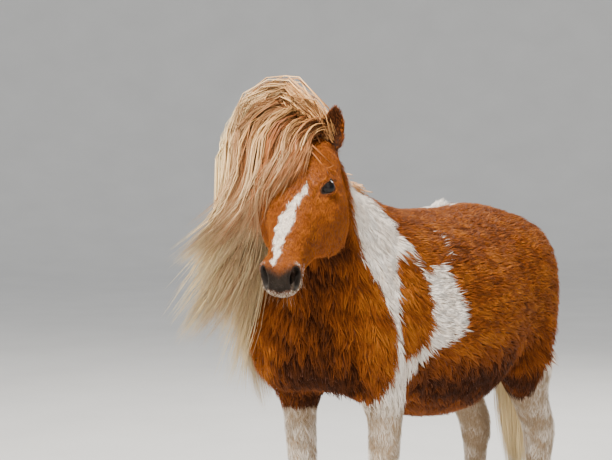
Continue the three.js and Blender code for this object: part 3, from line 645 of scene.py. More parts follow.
def round_nostril(points, side):
    """How far out from the middle of a nostril points lie, as a share of its edge, and the way in."""
    out = head_direction(0.60, side * 0.74, 0.28)
    tall = head_direction(-0.30, side * 0.34, 0.90)
    tall = unit(tall - out * (tall @ out))
    wide = np.cross(out, tall)
    offset = points - NOSTRIL[side]
    share = np.hypot(offset @ wide / NOSTRIL_HALF_WIDTH, offset @ tall / NOSTRIL_HALF_HEIGHT)
    return np.where(np.abs(offset @ out) < 0.03, share, 9.0), out


def mouth_gap(points):
    """Height above the line of the mouth, and how much of the mouth is there."""
    length, sideways, rise = in_head(points)
    ahead = (length - MOUTH["corner"]) / (MOUTH["front"] - MOUTH["corner"])
    turn = np.arctan2(sideways / MOUTH["half"], np.maximum(ahead, 1e-3)) / (math.pi / 2)
    line = MOUTH["front_rise"] + (MOUTH["corner_rise"] - MOUTH["front_rise"]) * turn ** 2
    return rise - line, ramp(length, MOUTH["corner"] - 0.004, MOUTH["corner"] + 0.014)


places = points_of(skin)
normals = normals_of(skin)
for side in (1, -1):
    share, out = round_nostril(places, side)
    places -= out * (NOSTRIL_DEPTH * (1 - ramp(share, 0.70, 1.05)))[:, None]
    raised = bell(share, NOSTRIL_LIP["share"], NOSTRIL_LIP["width"])
    places += normals * (NOSTRIL_LIP["out"] * raised)[:, None]
gap, there = mouth_gap(places)
lips = LIPS["out"] * bell(np.abs(gap), LIPS["away"], LIPS["width"])
lips -= LIPS["groove"] * bell(gap, 0, LIPS["groove_width"])
places += normals * (lips * there * head_share(places))[:, None]
move_points(skin, places)
skin.data.polygons.foreach_set("use_smooth", [True] * len(skin.data.polygons))
print("muzzle done")

# %% [markdown]
# ## The markings
#
# The pony is skewbald: chestnut with sharp-edged white patches. They could be painted on an image, but
# skin and fur must agree exactly, so each patch is an outline in real measures and one function tells,
# for any point, whether its hair is white. Each hair takes the colour of the skin at its root, which
# gives the ragged edges of a real patch for nothing. Outlines on the body are seen from its side, in
# metres along Y and Z, and the blaze is drawn in the head's own measures.

# %% Outlines of the patches
# (y, z) in metres, except for the blaze: (length from the poll, distance to the left)
SHOULDER_PATCH = [
    (-0.30, 1.15), (-0.294, 1.018), (-0.281, 0.973), (-0.266, 0.927), (-0.260, 0.889), (-0.250, 0.860),
    (-0.233, 0.826), (-0.227, 0.790), (-0.222, 0.763), (-0.217, 0.736), (-0.215, 0.702),
    (-0.207, 0.667), (-0.211, 0.639), (-0.204, 0.605), (-0.216, 0.588), (-0.220, 0.560),
    (-0.214, 0.538), (-0.240, 0.532), (-0.270, 0.545), (-0.36, 0.56), (-0.40, 0.0), (-0.05, 0.0),
    (-0.10, 0.50), (-0.154, 0.567), (-0.141, 0.600), (-0.128, 0.634), (-0.119, 0.647),
    (-0.096, 0.659), (-0.073, 0.676), (-0.047, 0.676), (-0.003, 0.695), (0.018, 0.708),
    (0.040, 0.713), (0.032, 0.749), (0.038, 0.776), (0.027, 0.798), (0.016, 0.827), (0.010, 0.855),
    (0.004, 0.872), (-0.015, 0.865), (-0.040, 0.858), (-0.067, 0.843), (-0.082, 0.867),
    (-0.084, 0.890), (-0.085, 0.910), (-0.094, 0.933), (-0.105, 0.956), (-0.124, 0.980),
    (-0.122, 1.005), (-0.130, 1.020), (-0.165, 1.050), (-0.22, 1.10),
]
SHOULDER_ISLAND = [
    (-0.109, 0.898), (-0.139, 0.884), (-0.161, 0.865), (-0.174, 0.833), (-0.187, 0.800),
    (-0.201, 0.757), (-0.201, 0.712), (-0.193, 0.677), (-0.179, 0.655), (-0.151, 0.665),
    (-0.117, 0.675), (-0.094, 0.692), (-0.080, 0.716), (-0.072, 0.745), (-0.070, 0.780),
    (-0.072, 0.814), (-0.078, 0.842), (-0.092, 0.867), (-0.097, 0.888),
]
OFF_SHOULDER_PATCH = [
    (-0.31, 1.15), (-0.29, 1.02), (-0.24, 0.93), (-0.19, 0.84), (-0.18, 0.75), (-0.20, 0.68),
    (-0.15, 0.64), (-0.10, 0.64), (-0.04, 0.68), (0.02, 0.74), (0.01, 0.82),
    (-0.05, 0.90), (-0.07, 0.98), (-0.13, 1.05), (-0.22, 1.12),
]
OFF_FLANK_PATCH = [
    (0.25, 1.02), (0.22, 0.93), (0.26, 0.86), (0.24, 0.76), (0.30, 0.68), (0.38, 0.66),
    (0.42, 0.74), (0.39, 0.83), (0.41, 0.92), (0.35, 1.02),
]
BLAZE = [
    (0.162, 0.026), (0.185, 0.029), (0.205, 0.020), (0.222, 0.015), (0.262, 0.009), (0.288, 0.008),
    (0.315, 0.000), (0.345, -0.005), (0.374, -0.009), (0.374, -0.013), (0.330, -0.019),
    (0.287, -0.025), (0.245, -0.021), (0.222, -0.006), (0.205, 0.004), (0.185, 0.021),
]
print("corners of the shoulder patch:", len(SHOULDER_PATCH))

# %% Stockings and small marks
# (y, z) of the upper edge of the hind stockings
HIND_STOCKING = [
    (0.38, 0.430), (0.462, 0.455), (0.474, 0.485), (0.484, 0.523), (0.497, 0.556), (0.513, 0.586),
    (0.56, 0.63), (0.62, 0.69),
]
FORE_STOCKING = 0.528
HIP = {"height": 0.60, "behind_hoof": -0.115, "hock": 0.38, "hock_behind_hoof": 0.03}
LEG_LINES = []
for leg, hoof in LEGS.items():
    foot_x, foot_y = coronet(hoof)
    foot = np.array((foot_x, foot_y + 0.02, 0.03))
    if "hind" in leg:
        knee = np.array((foot_x, foot_y + HIP["hock_behind_hoof"], HIP["hock"]))
        LEG_LINES += [(foot, knee), (knee, np.array((foot_x, foot_y + HIP["behind_hoof"], HIP["height"])))]
    else:
        LEG_LINES.append((foot, np.array((foot_x, foot_y + 0.02, HIP["height"]))))
BACK_TUFT = {"place": (-0.022, 0.305, 0.992), "radius": 0.019}
FLANK_STREAK = {"from": (0.138, 0.060, 0.936), "to": (0.186, 0.035, 0.875), "radius": 0.014, "share": 0.3}
print("leg lines:", len(LEG_LINES))

# %% White or chestnut
def inside(outline, across, up):
    """Distance into a closed outline, in its own units: positive inside and negative outside."""
    corners = np.array(outline, float)
    points = np.stack([across, up], axis=1)
    nearest = np.full(len(points), np.inf)
    within = np.zeros(len(points), bool)
    for start, end in zip(corners, np.roll(corners, -1, axis=0)):
        edge = end - start
        t = np.clip((points - start) @ edge / (edge @ edge), 0, 1)
        nearest = np.minimum(nearest, np.linalg.norm(points - start - t[:, None] * edge, axis=1))
        crosses = (start[1] > up) != (end[1] > up)
        reach = start[0] + (up - start[1]) / np.where(end[1] == start[1], 1, end[1] - start[1]) * edge[0]
        within ^= crosses & (across < reach)
    return np.where(within, nearest, -nearest)


def leg_below(points):
    """1 on the free legs and 0 on the trunk."""
    near = np.min([off_rod(points, *line) for line in LEG_LINES], axis=0)
    return (1 - ramp(near, 0.065, 0.090)) * (1 - ramp(points[:, 2], 0.53, 0.61))


def white_depth(points):
    """How far into white hair each point lies, in metres: negative where it is chestnut."""
    x, y, z = points.T
    near = np.minimum(inside(SHOULDER_PATCH, y, z), -inside(SHOULDER_ISLAND, y, z))
    belly = ramp(y, -0.16, -0.10) * (z < 0.575)
    near = np.where((belly > 0.5) & (z > 0.40), -0.02, near)
    off = np.maximum(inside(OFF_SHOULDER_PATCH, y, z), inside(OFF_FLANK_PATCH, y, z))
    white = np.where(x > 0, near, off)
    white = np.maximum(white, BACK_TUFT["radius"] - np.linalg.norm(points - BACK_TUFT["place"], axis=1))
    behind = np.interp(y, *zip(*HIND_STOCKING)) - z
    stocking = np.where(y > 0.1, behind, np.minimum(FORE_STOCKING - z, -0.10 - y))
    white = np.where((y > 0.1) | (z < FORE_STOCKING) & (x < 0.1), np.maximum(stocking, white), white)
    length, sideways, _ = in_head(points)
    blaze = np.where(head_share(points) > 0.3, inside(BLAZE, length, sideways), -1)
    return np.where(head_share(points) > 0.5, blaze, white)


print("patches:", white_depth(np.array([(0.14, -0.2, 0.9), (0.2, -0.13, 0.75), (0.2, 0.3, 0.8)])).round(3))

# %% [markdown]
# ## The lie and length of the coat
#
# Hair doesn't stand straight out: it streams down the face, down the chest and legs, and back along the
# barrel. A groomer knows these lines well. They could be combed by hand, but a field that gives the
# direction for every point keeps neighbouring hairs together. A second field gives the length: a winter
# Shetland has a coat of 3 to 5 cm, longest on chest and belly, and velvet on its muzzle.

# %% The lie of the coat
LIE = {
    "barrel": (0, 1.0, -0.22), "lower": (0, 0.45, -0.95), "rump": (0, 0.9, -0.75),
    "chest": (0, 0.30, -1.0), "leg": (0, 0.05, -1.0),
}


def mixed(first, second, share):
    return first + (second - first) * np.reshape(share, (-1,) + (1,) * (np.ndim(first + second) - 1))


def lie_of(points):
    """The direction in which hair streams, before it is laid along the skin."""
    x, y, z = points.T
    flow = np.zeros_like(points) + LIE["barrel"]
    flow = mixed(flow, np.array(LIE["lower"]), 1 - ramp(z, 0.56, 0.74))
    flow = mixed(flow, np.array(LIE["rump"]), ramp(y, 0.42, 0.62) * ramp(z, 0.5, 0.7))
    flow = mixed(flow, np.array(LIE["chest"]), 1 - ramp(y, -0.20, -0.02))
    flow = mixed(flow, np.array(LIE["leg"]), leg_below(points))
    length, sideways, rise = in_head(points)
    on_cheek = ramp(-rise, 0.02, 0.10)
    face = mixed(HEAD_DOWN + np.zeros_like(points), HEAD_DOWN * 0.6 - HEAD_OFF, on_cheek)
    under = ramp(-rise, 0.10, 0.15) * (1 - ramp(length, 0.26, 0.34))
    face = mixed(face, HEAD_DOWN * -0.4 - HEAD_OFF, under)
    spread = np.clip(sideways / 0.06, -1, 1)[:, None] * HEAD_LEFT * 0.25
    flow = mixed(flow, face + spread * (1 - on_cheek)[:, None], head_share(points))
    for side in (1, -1):
        tip = unit(EAR_TIP[side] - EAR_ROOT[side])
        flow = mixed(flow, tip, one_ear(points, side))
    return unit(flow)


middle_of_back = lie_of(np.array([(0.0, 0.2, 0.98)]))[0]
print("hair on the back lies along", middle_of_back.round(2))

# %% The length of the coat
COAT_LENGTH = {
    "barrel": 0.036, "lower": 0.044, "chest": 0.046, "back": 0.030, "buttock": 0.024, "leg": 0.022,
    "face": 0.0135, "more_on_jaw": 0.020, "muzzle": 0.0055, "ear": 0.013,
}


def length_of(points):
    """The length of the hair."""
    x, y, z = points.T
    hair = np.full(len(points), COAT_LENGTH["barrel"])
    hair = mixed(hair, COAT_LENGTH["lower"], ramp(z, 0.75, 0.55))
    hair = mixed(hair, COAT_LENGTH["chest"], 1 - ramp(y, -0.30, -0.20))
    hair = mixed(hair, COAT_LENGTH["back"], ramp(z, 0.94, 0.99) * ramp(y, -0.05, 0.05))
    hair = mixed(hair, COAT_LENGTH["buttock"], ramp(y, 0.50, 0.60) * (1 - ramp(z, 0.62, 0.74)))
    hair = mixed(hair, COAT_LENGTH["leg"], leg_below(points))
    length, _, rise = in_head(points)
    jaw = ramp(-rise, 0.09, 0.17) * (1 - ramp(length, 0.22, 0.30))
    face = COAT_LENGTH["face"] + COAT_LENGTH["more_on_jaw"] * jaw
    face = mixed(face, COAT_LENGTH["muzzle"], ramp(length, 0.30, 0.36))
    hair = mixed(hair, face, head_share(points))
    return mixed(hair, COAT_LENGTH["ear"], ear_share(points))


def width_of(hair):
    """How wide a tuft of that length is."""
    return 0.0006 + 0.038 * hair


def smooth_noise(points, scale, seed):
    """A soft random value between -1 and 1 that changes over about the given distance."""
    draw = np.random.default_rng(seed)
    total = np.zeros(len(points))
    for _ in range(6):
        wave = draw.normal(size=3) / scale
        total += np.sin(points @ wave * 2.2 + draw.uniform(0, 2 * math.pi))
    return total / 3.4


print("hair on the back is", length_of(np.array([(0.0, 0.2, 0.98)])).round(3)[0], "long")

# %% [markdown]
# ## Unwrapping the skin
#
# Painting each piece's colours on an image needs to know where on it every tuft lies. The skin is
# unwrapped from its own shape, and each tuft later takes a tiny patch of that map at its root.

# %% Unwrap
skin.data.uv_layers.new(name="OFBake")
select_only(skin)
bpy.ops.object.mode_set(mode="EDIT")
bpy.ops.mesh.select_all(action="SELECT")
bpy.ops.uv.smart_project(angle_limit=math.radians(72), island_margin=0.003)
bpy.ops.object.mode_set(mode="OBJECT")

corner_count = len(skin.data.loops)
skin_points = points_of(skin)
skin_normals = normals_of(skin)
triangles = np.empty(corner_count, np.int32)
skin.data.loops.foreach_get("vertex_index", triangles)
triangles = triangles.reshape(-1, 3)
corner_places = np.empty(corner_count * 2, np.float32)
skin.data.uv_layers["OFBake"].data.foreach_get("uv", corner_places)
corner_places = corner_places.reshape(-1, 3, 2)
skin_tree = BVHTree.FromPolygons(skin_points.tolist(), triangles.tolist())
print("unwrapped:", len(triangles), "triangles")

# %% [markdown]
# ## Colours as numbers
#
# Skin and tufts must show the same markings, so colours aren't painted. Each point gets a few numbers
# instead: how white it is, how dark as on the muzzle and the rims of the eyes, and how light in tone.
# These also carry painted light and shade: light on the nostril walls, shade inside the ears and where
# shade falls. A copy of the skin that is smoothed flat also tells where the real one is hollow, and fur
# there gets painted shade.

# %% Where hair is white or dark
PATCH_EDGE = 0.0035
CHIN_WHITE = 0.60
# Painted light on the inner wall of each nostril: place, width and how much paler
LIT_NOSTRIL_WALL = {"place": 0.0070, "width": 0.0028, "paler": 0.50}
NOSTRIL_RIM = {"share": 1.30, "width": 0.13, "paler": 0.36}
HOLLOW = {"from": 0.0006, "to": 0.0045}
NOSE_DARK = {"from": 0.374, "to": 0.398}
CHIN_PALE = {"from": 0.325, "to": 0.360, "below": 0.043, "full": 0.055}


def inner_ear(points, normals):
    """1 inside the cup of an ear, whose opening faces ahead and outwards."""
    share = np.zeros(len(points))
    for side in (1, -1):
        facing = np.array((math.sin(HEAD_TURN + side * 0.3), -math.cos(HEAD_TURN + side * 0.3), 0))
        middle = (EAR_ROOT[side] + EAR_TIP[side]) / 2
        low, high = EAR_ROOT[side] + UP * 0.012, EAR_TIP[side] - UP * 0.012
        near = near_rod(points, low, high, 0.018, 0.026)
        ahead = (points - middle) @ facing
        share = np.maximum(share, near * ramp(normals @ facing, 0.25, 0.6) * (1 - ramp(ahead, 0.010, 0.018)))
    return share


def chin_share(points):
    """1 on the pale hair of lower lip and chin."""
    length, sideways, rise = in_head(points)
    chin = ramp(length, CHIN_PALE["from"], CHIN_PALE["to"]) * head_share(points)
    return chin * ramp(0.25 * np.abs(sideways) - rise, CHIN_PALE["below"], CHIN_PALE["full"])


def lit_wall_and_pale_rim(points, side, share):
    """Painted light on the wall inside a nostril, and how pale the outer side of its rim is."""
    inwards = (points - NOSTRIL[side]) @ (-side * HEAD_LEFT)
    wall = bell(inwards, LIT_NOSTRIL_WALL["place"], LIT_NOSTRIL_WALL["width"])
    wall *= LIT_NOSTRIL_WALL["paler"] * (1 - ramp(share, 0.95, 1.10))
    rim = NOSTRIL_RIM["paler"] * bell(share, NOSTRIL_RIM["share"], NOSTRIL_RIM["width"])
    return np.maximum(wall, rim * ramp(-inwards, -0.002, 0.006))


def attributes_of(points):
    """Shares of white hair, with painted light on the nostril walls, and of dark muzzle skin at many points.
    """
    wander = 0.004 * smooth_noise(points, 0.012, 5)
    white = ramp(white_depth(points) + wander, -PATCH_EDGE, PATCH_EDGE)
    length, sideways, rise = in_head(points)
    on_face = head_share(points)
    chin = chin_share(points)
    nose = ramp(length + 0.3 * np.abs(sideways), NOSE_DARK["from"], NOSE_DARK["to"])
    dark = nose * on_face * (1 - white) * (1 - chin)
    white = np.maximum(white, CHIN_WHITE * chin)
    radius = FLANK_STREAK["radius"]
    streak = near_rod(points, FLANK_STREAK["from"], FLANK_STREAK["to"], 0.3 * radius, radius)
    white = np.maximum(white, FLANK_STREAK["share"] * streak)
    for side in (1, -1):
        share, _ = round_nostril(points, side)
        # Painted light on the nostril wall, and the pale rim, go into the white share
        pale = lit_wall_and_pale_rim(points, side, share)
        dark = np.maximum(dark, 1 - ramp(share, 1.02, 1.25)) * (1 - pale)
        white = np.maximum(white, pale)
        edge, _ = round_eye(points, side)
        rim = (1 - ramp(edge, 1.10, 1.35)) * (np.linalg.norm(points - EYE[side], axis=1) < 0.04)
        dark = np.maximum(dark, rim)
    return white, dark


print("the chin is pale by", chin_share(on_head(0.39, 0, -0.08)[None]).round(2)[0])

# %% Store the numbers
def store(obj, **values):
    """Keeps one number for each vertex under a name that materials read."""
    for name, value in values.items():
        layer = obj.data.attributes.new(name, "FLOAT", "POINT")
        layer.data.foreach_set("value", np.asarray(value, np.float32))


white, dark = attributes_of(skin_points)
# Inside the cup of each ear the skin gets painted shade
shaded = 1 - 0.9 * inner_ear(skin_points, skin_normals)
dark = np.maximum(dark, 0.6 * (1 - shaded))
tone = 0.35 * shaded - 0.2 * leg_below(skin_points) - 0.2 * chin_share(skin_points)
store(skin, white=white, dark=dark, tone=tone, tip=np.zeros(len(white)))

# Fur in the hollows of the skin gets painted shade, so the hollows are measured against a smoothed copy
relaxed = skin.copy()
relaxed.data = skin.data.copy()
scene.collection.objects.link(relaxed)
finish_with(relaxed, "SMOOTH", factor=0.5, iterations=100)
hollow = ((points_of(relaxed) - skin_points) * skin_normals).sum(axis=1)
hollow = ramp(hollow, HOLLOW["from"], HOLLOW["to"])
bpy.data.objects.remove(relaxed)
print("white share of the skin:", round(float(white.mean()), 2))

# %% [markdown]
# ## Growing tufts
#
# Particle hair would be the usual tool, but this model has to leave as plain meshes. So each tuft is a
# small solid: a flat three-sided spike with one bend, which rises from the skin and then lies along the
# coat. Roots are scattered so that each region gets as many as its hair length needs to cover it.
# Winter hair gathers in little points, so each tuft also leans towards the tip of its nearest leader.

# %% Values for tufts
TUFT_RINGS = ((0.0, 0.85), (0.42, 1.0))
MIDDLE_OF_TUFT = 0.5
# Painted shade: from, to, radius, how much. It darkens the hair in the crease inside the left arm, under
# the jaw, low on the chest, belly and buttock, and inside the off thigh, where shade falls.
PAINTED_SHADE = [
    ((0.152, -0.325, 0.700), (0.136, -0.300, 0.600), 0.040, 0.38),
    ((0.075, -0.345, 0.885), (0.110, -0.325, 0.930), 0.065, 0.35),
    ((0.000, -0.345, 0.620), (0.100, -0.325, 0.610), 0.100, 0.46),
    ((0.200, -0.100, 0.550), (0.200, 0.250, 0.600), 0.110, 0.68),
    ((0.190, 0.450, 0.600), (0.185, 0.600, 0.640), 0.100, 0.30),
    ((-0.060, 0.600, 0.520), (-0.050, 0.620, 0.340), 0.090, 0.55),
]
# How light a tuft is, and what changes that: slow and quick noise, its own luck and that of its clump,
# painted shade in a hollow, the dark bib of the chest with painted shade under the head, more painted
# shade on its lower part and on a face turned down, the legs, white hair, the chin
TUFT_TONE = {
    "middle": 0.54, "slow": 0.26, "quick": 0.11, "own": 0.12, "clump": 0.42, "hollow": 0.45,
    "bib_and_shade": 0.56, "low_chest_shade": 0.30, "downward_shade": 0.30, "leg": 0.55, "white": 0.18, "chin": 0.75,
}
DARKEST = -0.35
CLUMP = 18
SIDES = 3
PATCH = 0.003
print("a clump has", CLUMP, "tufts")

# %% Scattering roots
def scattered(density, seed):
    """Roots over the skin: their places, normals, map places and how hollow the skin is there."""
    draw = np.random.default_rng(seed)
    corners = skin_points[triangles]
    areas = np.linalg.norm(np.cross(corners[:, 1] - corners[:, 0], corners[:, 2] - corners[:, 0]), axis=1) / 2
    share = np.cumsum(areas * density[triangles].mean(axis=1))
    count = int(share[-1])
    picked = np.searchsorted(share, (np.arange(count) + draw.random(count)) * (share[-1] / count))
    picked = np.minimum(picked, len(triangles) - 1)
    first, second = np.sqrt(draw.random(count)), draw.random(count)
    mix = np.stack([1 - first, first * (1 - second), first * second], axis=1)[:, :, None]
    roots = (corners[picked] * mix).sum(axis=1)
    normals = unit((skin_normals[triangles[picked]] * mix).sum(axis=1))
    sunk = (hollow[triangles[picked]] * mix[:, :, 0]).sum(axis=1)
    return roots, normals, (corner_places[picked] * mix).sum(axis=1), sunk


print("the skin has", len(triangles), "triangles to root in")

# %% Many spikes as one mesh
def spikes(name, rings, widths, across, crowns, tips, map_places, values):
    """One mesh of many closed spikes. rings is (spike, ring, 3), and each ring is a flat triangle."""
    count, ring_count = rings.shape[:2]
    each = ring_count * SIDES + 1
    points = np.empty((count, each, 3))
    for i in range(ring_count):
        side = across[:, i] * (widths[:, i] / 2)[:, None]
        points[:, i * SIDES] = rings[:, i] + side
        points[:, i * SIDES + 1] = rings[:, i] + crowns[:, i] * (widths[:, i] * 0.25)[:, None]
        points[:, i * SIDES + 2] = rings[:, i] - side
    points[:, -1] = tips
    faces = [(0, 1, 2)]
    for i in range(ring_count - 1):
        for j in range(SIDES):
            a, b = i * SIDES + j, i * SIDES + (j + 1) % SIDES
            faces += [(a, a + SIDES, b + SIDES), (a, b + SIDES, b)]
    last = (ring_count - 1) * SIDES
    faces += [(last + j, each - 1, last + (j + 1) % SIDES) for j in range(SIDES)]
    faces = np.array(faces)
    mesh = bpy.data.meshes.new(name)
    every = (faces[None] + (np.arange(count) * each)[:, None, None]).reshape(-1, 3)
    mesh.from_pydata(points.reshape(-1, 3), [], every)
    obj = bpy.data.objects.new(name, mesh)
    scene.collection.objects.link(obj)
    mesh.polygons.foreach_set("use_smooth", [True] * len(every))
    along = np.append(np.repeat(np.arange(ring_count) / ring_count, SIDES), 1.0)
    aside = np.append(np.tile((-0.5, 0.0, 0.5), ring_count), 0.0)
    patch = map_places[:, None] + np.stack([aside, along - 0.5], axis=1)[None] * PATCH
    layer = mesh.uv_layers.new(name="OFBake")
    layer.data.foreach_set("uv", patch.reshape(-1, 2)[every.ravel()].astype(np.float32).ravel())
    each_value = {key: np.repeat(np.broadcast_to(value, count), each) for key, value in values.items()}
    store(obj, tip=np.tile(along, count), **each_value)
    return obj


print("triangles in a tuft:", 1 + 2 * SIDES * (len(TUFT_RINGS) - 1) + SIDES)

# %% One region of tufts
def laid(directions, normals):
    """Directions turned to lie in the skin."""
    return unit(directions - normals * (directions * normals).sum(axis=1, keepdims=True))


def tone_of(draw, roots, normals, sunk, nearest):
    """How light each tuft is, painted shade included, before its colour is known."""
    on_face = head_share(roots)
    calm = 1 - 0.65 * on_face
    waves = TUFT_TONE["slow"] * smooth_noise(roots, 0.04, 9)
    waves += TUFT_TONE["quick"] * smooth_noise(roots, 0.012, 8)
    tone = TUFT_TONE["middle"] + calm * waves
    luck = TUFT_TONE["own"] * draw.normal(size=len(roots))
    tone += calm * (luck + TUFT_TONE["clump"] * (draw.random(len(roots))[nearest] - 0.5))
    # The bib is partly darker hair and partly painted shade under the head; low on the chest it gets more
    # painted shade
    bib_and_shade = (1 - ramp(np.abs(roots[:, 0] - 0.03), 0.03, 0.16)) * (1 - ramp(roots[:, 1], -0.34, -0.26))
    bib_and_shade *= 1 - on_face
    low = 1 - ramp(roots[:, 2], 0.60, 0.76)
    # Painted shade in the hollows of the skin, then the bib's darkening
    tone -= TUFT_TONE["hollow"] * sunk + bib_and_shade * (TUFT_TONE["bib_and_shade"] + TUFT_TONE["low_chest_shade"] * low)
    # Painted shade on faces that turn down
    tone -= TUFT_TONE["downward_shade"] * ramp(-normals[:, 2], 0.05, 0.70) * (1 - 0.7 * on_face)
    tone -= TUFT_TONE["leg"] * leg_below(roots)
    # Painted shade along each rod darkens the tufts near it
    for start, end, radius, amount in PAINTED_SHADE:
        tone -= amount * near_rod(roots, start, end, 0.2 * radius, radius)
    return np.clip(tone, DARKEST, 1)


def grow(name, chosen, scatter, seed):
    """The tufts of one region."""
    draw = np.random.default_rng(seed)
    roots, normals, map_places, sunk = [values[chosen] for values in scatter]
    count = len(roots)
    hair = length_of(roots) * draw.uniform(0.75, 1.2, count)
    flow = lie_of(roots) + 0.22 * np.stack([smooth_noise(roots, 0.05, seed + i) for i in (1, 2, 3)], axis=1)
    flow = laid(flow + draw.normal(scale=0.10, size=(count, 3)), normals)
    across = np.cross(normals, flow)
    height = hair * (0.14 + 0.10 * draw.random(count))
    height += 0.018 * (1 - ramp(np.linalg.norm(roots - BACK_TUFT["place"], axis=1), 0.01, 0.03))
    width = width_of(hair)

    leaders = kdtree.KDTree(count // CLUMP + 1)
    led = np.arange(0, count, CLUMP)
    for i in led:
        leaders.insert(roots[i] + flow[i] * hair[i], i)
    leaders.balance()
    ends = roots + flow * hair[:, None]
    nearest = np.array([leaders.find(end)[1] for end in ends])
    tips = ends + normals * height[:, None]
    pull = np.minimum(hair * 0.35, 0.013) / np.maximum(np.linalg.norm(ends[nearest] - ends, axis=1), 1e-4)
    tips += (ends[nearest] - ends) * np.minimum(pull, 0.6)[:, None]

    middle_share = TUFT_RINGS[1][0]
    middle = roots + flow * (hair * middle_share)[:, None]
    middle += normals * (height * (1 - (1 - middle_share) ** 2))[:, None]
    rings = np.stack([roots - normals * 0.0015, middle], axis=1)
    widths = np.stack([width * share for _, share in TUFT_RINGS], axis=1)
    white, dark = attributes_of(roots + flow * (hair * MIDDLE_OF_TUFT)[:, None])
    tone = tone_of(draw, roots, normals, sunk, nearest)
    # Painted shade inside the cup of each ear
    within = inner_ear(roots, normals)
    tone *= 1 - 0.95 * within
    white = (draw.random(count) < white).astype(float)
    tone += TUFT_TONE["white"] * white * (1 - leg_below(roots)) - TUFT_TONE["chin"] * chin_share(roots)
    values = {"white": white, "dark": np.maximum(dark, 0.5 * within), "tone": tone}
    return spikes(
        name, rings, widths, np.stack([across] * 2, axis=1), np.stack([normals] * 2, axis=1),
        tips, map_places, values,
    )


print("tuft makers ready")

# %% Grow the coat
TUFTS_AT_MOST = 18500
COVER = {"body": 3.3, "head": 1.8, "leg": 1.6}

hair_there = length_of(skin_points)
bare = np.zeros(len(skin_points))
for side in (1, -1):
    share, _ = round_nostril(skin_points, side)
    bare = np.maximum(bare, 1 - ramp(share, 1.0, 1.2))
    share, _ = round_eye(skin_points, side)
    close = np.linalg.norm(skin_points - EYE[side], axis=1) < 0.04
    bare = np.maximum(bare, (1 - ramp(share, 1.25, 1.45)) * close)
cover = mixed(COVER["body"], COVER["head"], head_share(skin_points))
cover = mixed(cover, COVER["leg"], leg_below(skin_points))
density = cover / (hair_there * width_of(hair_there)) * (1 - bare)
density *= 1 - 0.5 * (skin_points[:, 2] < 0.055)
scatter = scattered(density, 31)
roots = scatter[0]
print("tufts:", len(roots))

region = np.where(head_share(roots) > 0.5, 0, 1 + np.digitize(roots[:, 1], [-0.15, 0.10, 0.36]))
region = np.where(leg_below(roots) > 0.5, 5, region)
REGION_NAMES = ["head", "neck", "shoulder", "barrel", "rump", "legs"]
coat = []
for number, name in enumerate(REGION_NAMES):
    members = np.flatnonzero(region == number)
    parts = math.ceil(len(members) / TUFTS_AT_MOST)
    for part, chosen in enumerate(np.array_split(members, parts)):
        seed = 100 + number * 10 + part
        coat.append(grow(f"coat_{name}_{part + 1}", chosen, scatter, seed))
print("coat pieces:", {piece.name: len(piece.data.polygons) for piece in coat})

# %% [markdown]
# ## The finish of the coat
#
# Chestnut hair is dark at the root and bleached at the tip, and every lock differs a little. White hair
# is warm, not pure white. The tufts carry these as numbers, so one material serves all the fur, and the
# skin has its own with the same colours. Only colour, roughness and bump change over the surface.

# %% Coat material
CHESTNUT = [(0.0, (0.035, 0.009, 0.002)), (0.45, (0.25, 0.062, 0.008)), (1.0, (0.54, 0.178, 0.024))]
WHITE_HAIR = [(0.0, (0.36, 0.25, 0.15)), (0.4, (0.89, 0.79, 0.69)), (1.0, (0.98, 0.93, 0.87))]
# Dark muzzle skin, eye rims and lashes, and the painted shade inside the ears
DARK_HAIR_AND_SHADE = [(0.0, (0.012, 0.009, 0.007)), (0.6, (0.026, 0.018, 0.013)), (1.0, (0.18, 0.14, 0.11))]

fur = Finish("winter_coat", Roughness=0.62, Specular_IOR_Level=0.08)
tone = fur.attribute("tone") * 0.62 + fur.attribute("tip") * 0.34
tone = tone + fur.noise(fur.place(), 45.0, 3.0) * 0.22 - 0.10
coloured = fur.between(fur.ramp(tone, CHESTNUT), fur.ramp(tone, WHITE_HAIR), fur.attribute("white"))
coloured = fur.between(coloured, fur.ramp(tone, DARK_HAIR_AND_SHADE), fur.attribute("dark"))
fur.feed("Base Color", coloured)
fur.feed("Roughness", fur.noise(fur.place(), 60.0) * 0.2 + 0.65)

hide = Finish("skin", Roughness=0.6, Specular_IOR_Level=0.18)
tone = hide.noise(hide.place(), 90.0, 4.0) * 0.30 + hide.attribute("tone") - 0.25
coloured = hide.between(hide.ramp(tone, CHESTNUT), hide.ramp(tone, WHITE_HAIR), hide.attribute("white"))
coloured = hide.between(coloured, hide.ramp(tone, DARK_HAIR_AND_SHADE), hide.attribute("dark"))
hide.feed("Base Color", coloured)
hide.feed("Roughness", hide.noise(hide.place(), 200.0) * 0.3 + 0.40)
hide.bump(hide.noise(hide.place(), 700.0, 4.0), 0.35, 0.0008)

skin.data.materials.clear()
skin.data.materials.append(hide.material)
for piece in coat:
    piece.data.materials.append(fur.material)
for piece in (skin, *coat):
    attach(piece, "root")
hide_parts("torso", "neck", "head", "left_ear", "right_ear", *LEGS)
print("coat finished")

# %% [markdown]
# ## Long hair: how a strand hangs
#
# The wind blows the mane and forelock over to the pony's right. Each strand rises from its root, arches
# over and falls, then flicks out at its tip. The broad locks of the solids follow a family of such
# arches, and the fine strands follow the same family, so they fill the same space. They could be combed
# one by one, but a few tables that say how the arch changes along the crest move thousands at once.

# %% The family of arches
ARCH_SHARE = 0.58
FALL_IN_ARCH = 0.2
FLICK_BEND = 2.5
# share of the way from withers to poll, heading ahead, arch half width, arch height, fall, flick
MANE_FLOW = np.array([
    (0.00, 0.27, 0.070, 0.024, 0.390, 0.020), (0.25, 0.45, 0.082, 0.034, 0.480, 0.050),
    (0.50, 0.50, 0.096, 0.052, 0.480, 0.090), (0.75, 0.36, 0.100, 0.102, 0.375, 0.130),
    (1.00, 0.24, 0.108, 0.143, 0.265, 0.110),
])
